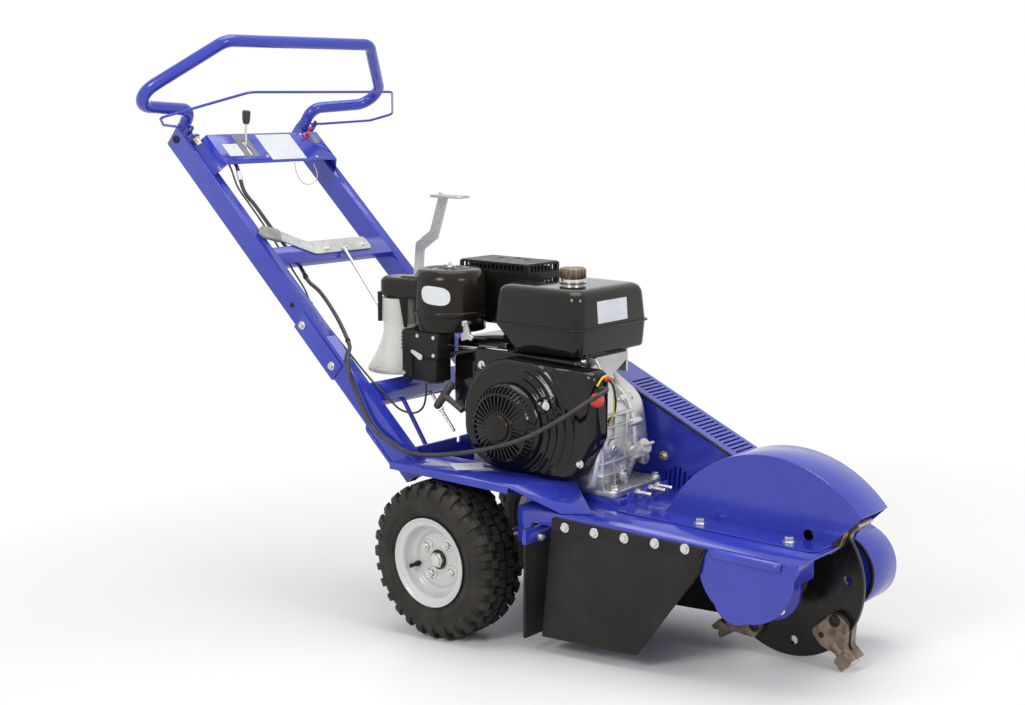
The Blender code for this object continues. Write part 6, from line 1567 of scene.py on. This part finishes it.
def engine_switch():
    """Red switch knob in its bezel on the front end of the fan cover."""
    start = Vector((0.3353, -0.145, 0.531))
    along = Vector(TO_FRONT)
    knob_shape = turned([(0, 0), (0.0128, 0), (0.0133, 0.001), (0.0133, 0.012), (0.0122, 0.0155),
                         (0.0095, 0.0174), (0, 0.0176)], 40, aim(start, along))
    ribs = []
    for k in range(12):
        turn = Matrix.Rotation(2 * pi * k / 12, 4, "Z")
        rib = block((0.012, 0.014), (-0.0017, 0.0017), (0.0015, 0.0135), 0.0006)
        ribs.append(moved(rib, aim(start, along) @ turn))
    piece("engine_switch_knob", joined(knob_shape, *ribs), RED, "engine_switch", stands_for=["engine_switch"])


def dipstick():
    """Grey finger knob on the filler neck."""
    along = Vector((cos(DIPSTICK_LEAN), 0, sin(DIPSTICK_LEAN)))
    start = DIPSTICK_SEAT + along * 0.0003
    place = aim(start, along)
    disc = turned([(0, 0), (0.014, 0), (0.0155, 0.0012), (0.0158, 0.005), (0.015, 0.0068), (0.01, 0.008),
                   (0, 0.0082)], 40, place)
    grip = moved(block((-0.0135, 0.0135), (-0.0032, 0.0032), (0.006, 0.0198), 0.0028, 3), place)
    piece("dipstick_knob", joined(disc, grip), KNOB, "dipstick", stands_for=["dipstick"])


# Cords held along their length, with heights above the deck

DECK_TOP = 0.308
LOOM_ROUTE = [
    (-0.7294, -0.137, 0.6577), (-0.7059, -0.137, 0.6365), (-0.678, -0.141, 0.582), (-0.654, -0.127, 0.546),
    (-0.616, -0.114, 0.496), (-0.582, -0.103, 0.456), (-0.537, -0.1, 0.411),
    (-0.503, -0.108, 0.383), (-0.465, -0.106, 0.359), (-0.389, -0.13, 0.313), (-0.322, -0.16, 0.266),
    (-0.3, -0.182, 0.253), (-0.284, -0.201, 0.239), (-0.27, -0.2115, 0.217), (-0.254, -0.2105, 0.18),
    (-0.206, -0.21, 0.108), (-0.146, -0.2105, 0.077), (-0.063, -0.212, 0.066), (0.078, -0.216, 0.094),
    (0.21, -0.219, 0.138), (0.295, -0.202, 0.187), (0.347, -0.172, 0.228), (0.361, -0.142, 0.243),
    (0.35, -0.13, 0.244), (0.3353, -0.13, 0.244),
]
CABLE_ROUTE = [
    (-0.7294, -0.156, 0.6577), (-0.7059, -0.156, 0.636), (-0.683, -0.155, 0.591), (-0.658, -0.141, 0.55),
    (-0.626, -0.129, 0.505), (-0.586, -0.124, 0.459), (-0.54, -0.126, 0.413),
    (-0.49, -0.134, 0.371), (-0.43, -0.159, 0.332), (-0.31, -0.164, 0.24), (-0.272, -0.166, 0.212),
    (-0.24, -0.166, 0.189), (-0.215, -0.16, 0.168), (-0.192, -0.14, 0.135), (-0.172, -0.116, 0.124),
    (-0.15, -0.11, 0.138), (-0.14, -0.11, 0.168), (-0.14, -0.11, 0.1917),
]


def cords():
    """The wiring loom and the throttle cable in their sheaths, with the loom's connector and ties."""
    routes = {}
    for node, route, radius in (("wiring_loom", LOOM_ROUTE, 0.0045), ("throttle_cable", CABLE_ROUTE, 0.0022)):
        path = smooth_path([(x, y, DECK_TOP + z) for x, y, z in route], 0.008)
        routes[node] = path
        piece(node + "_sheath", tube(path, radius, 4), LOOM_BLACK, stands_for=[node])
    sleeves = (
        ("loom_connector", "wiring_loom", -0.7, 0.022, 0.0066, PALE),
        ("loom_strap", "wiring_loom", -0.522, 0.01, 0.006, PLASTIC),
        ("loom_tie", "wiring_loom", -0.33, 0.006, 0.0058, PLASTIC),
        ("cable_tie", "throttle_cable", -0.306, 0.005, 0.004, PLASTIC),
    )
    for name, node, x, reach, radius, mat in sleeves:
        path = routes[node]
        at = min(range(len(path) // 2), key=lambda k: abs(path[k].x - x))
        along = (path[at + 1] - path[at]).normalized()
        piece(name, rod(path[at], path[at] + along * reach, radius, 20, 0.0012), mat)
    loop = smooth_path([(0.008, 0.054, 0.07), (0.026, 0.061, 0.05), (0.04, 0.078, 0.034),
                        (0.045, 0.099, 0.03), (0.042, 0.118, 0.034), (0.03, 0.128, 0.046),
                        (0.012, 0.117, 0.066)], 0.004)
    piece("console_wire", tube(loop, 0.0012, 3), CREAM, space=LEG)


# Carried-over solids

def carried_over():
    """Materials and rounded edges for the solids that show as they are."""
    sheets = ("deck_plate", "side_plate_right", "side_plate_left", "fender_right", "fender_left",
              "leg_right", "leg_left", "lower_leg_right", "lower_leg_left", "upper_cross_member",
              "lower_cross_member", "console_panel", "bearing_right", "bearing_left")
    for node in sheets:
        dressed(node, BLUE)
    for node in ("flap_right", "flap_left", "flap_rear"):
        dressed(node, FLAP, 0.001)
    dressed("drive_belt", PLASTIC, 0.0008)
    dressed("cutter_pulley", ZINC, 0.0008)
    dressed("crankshaft", ZINC, 0.0008)


def fender_plate():
    """Blank plate on the right fender."""
    outline = [(-0.014, -0.178), (0.036, -0.131), (0.075, -0.167), (0.036, -0.211)]
    piece("fender_plate", slab(outline, (0.3564, 0.3574), edge=0.0002), PALE)


def machine():
    """Every piece, from the ground up."""
    for side, name in ((-1, "right"), (1, "left")):
        tyre(side, name)
        rim(side, name)
    axle()
    carried_over()
    console()
    throttle()
    toggle()
    handle_bar()
    bail()
    bail_switch()
    lock_lever()
    lock_rod()
    strap_lever()
    leg_bolts()
    cutter()
    hood()
    belt_guard()
    side_plates()
    adjusters()
    crankcase()
    fan_cover()
    recoil()
    starter_grip()
    fuel_tank()
    fuel_cap()
    air_cleaner()
    dust_bowl()
    muffler()
    carburettor()
    engine_details()
    engine_switch()
    dipstick()
    fender_plate()


stage()
studio()
cords()
machine()
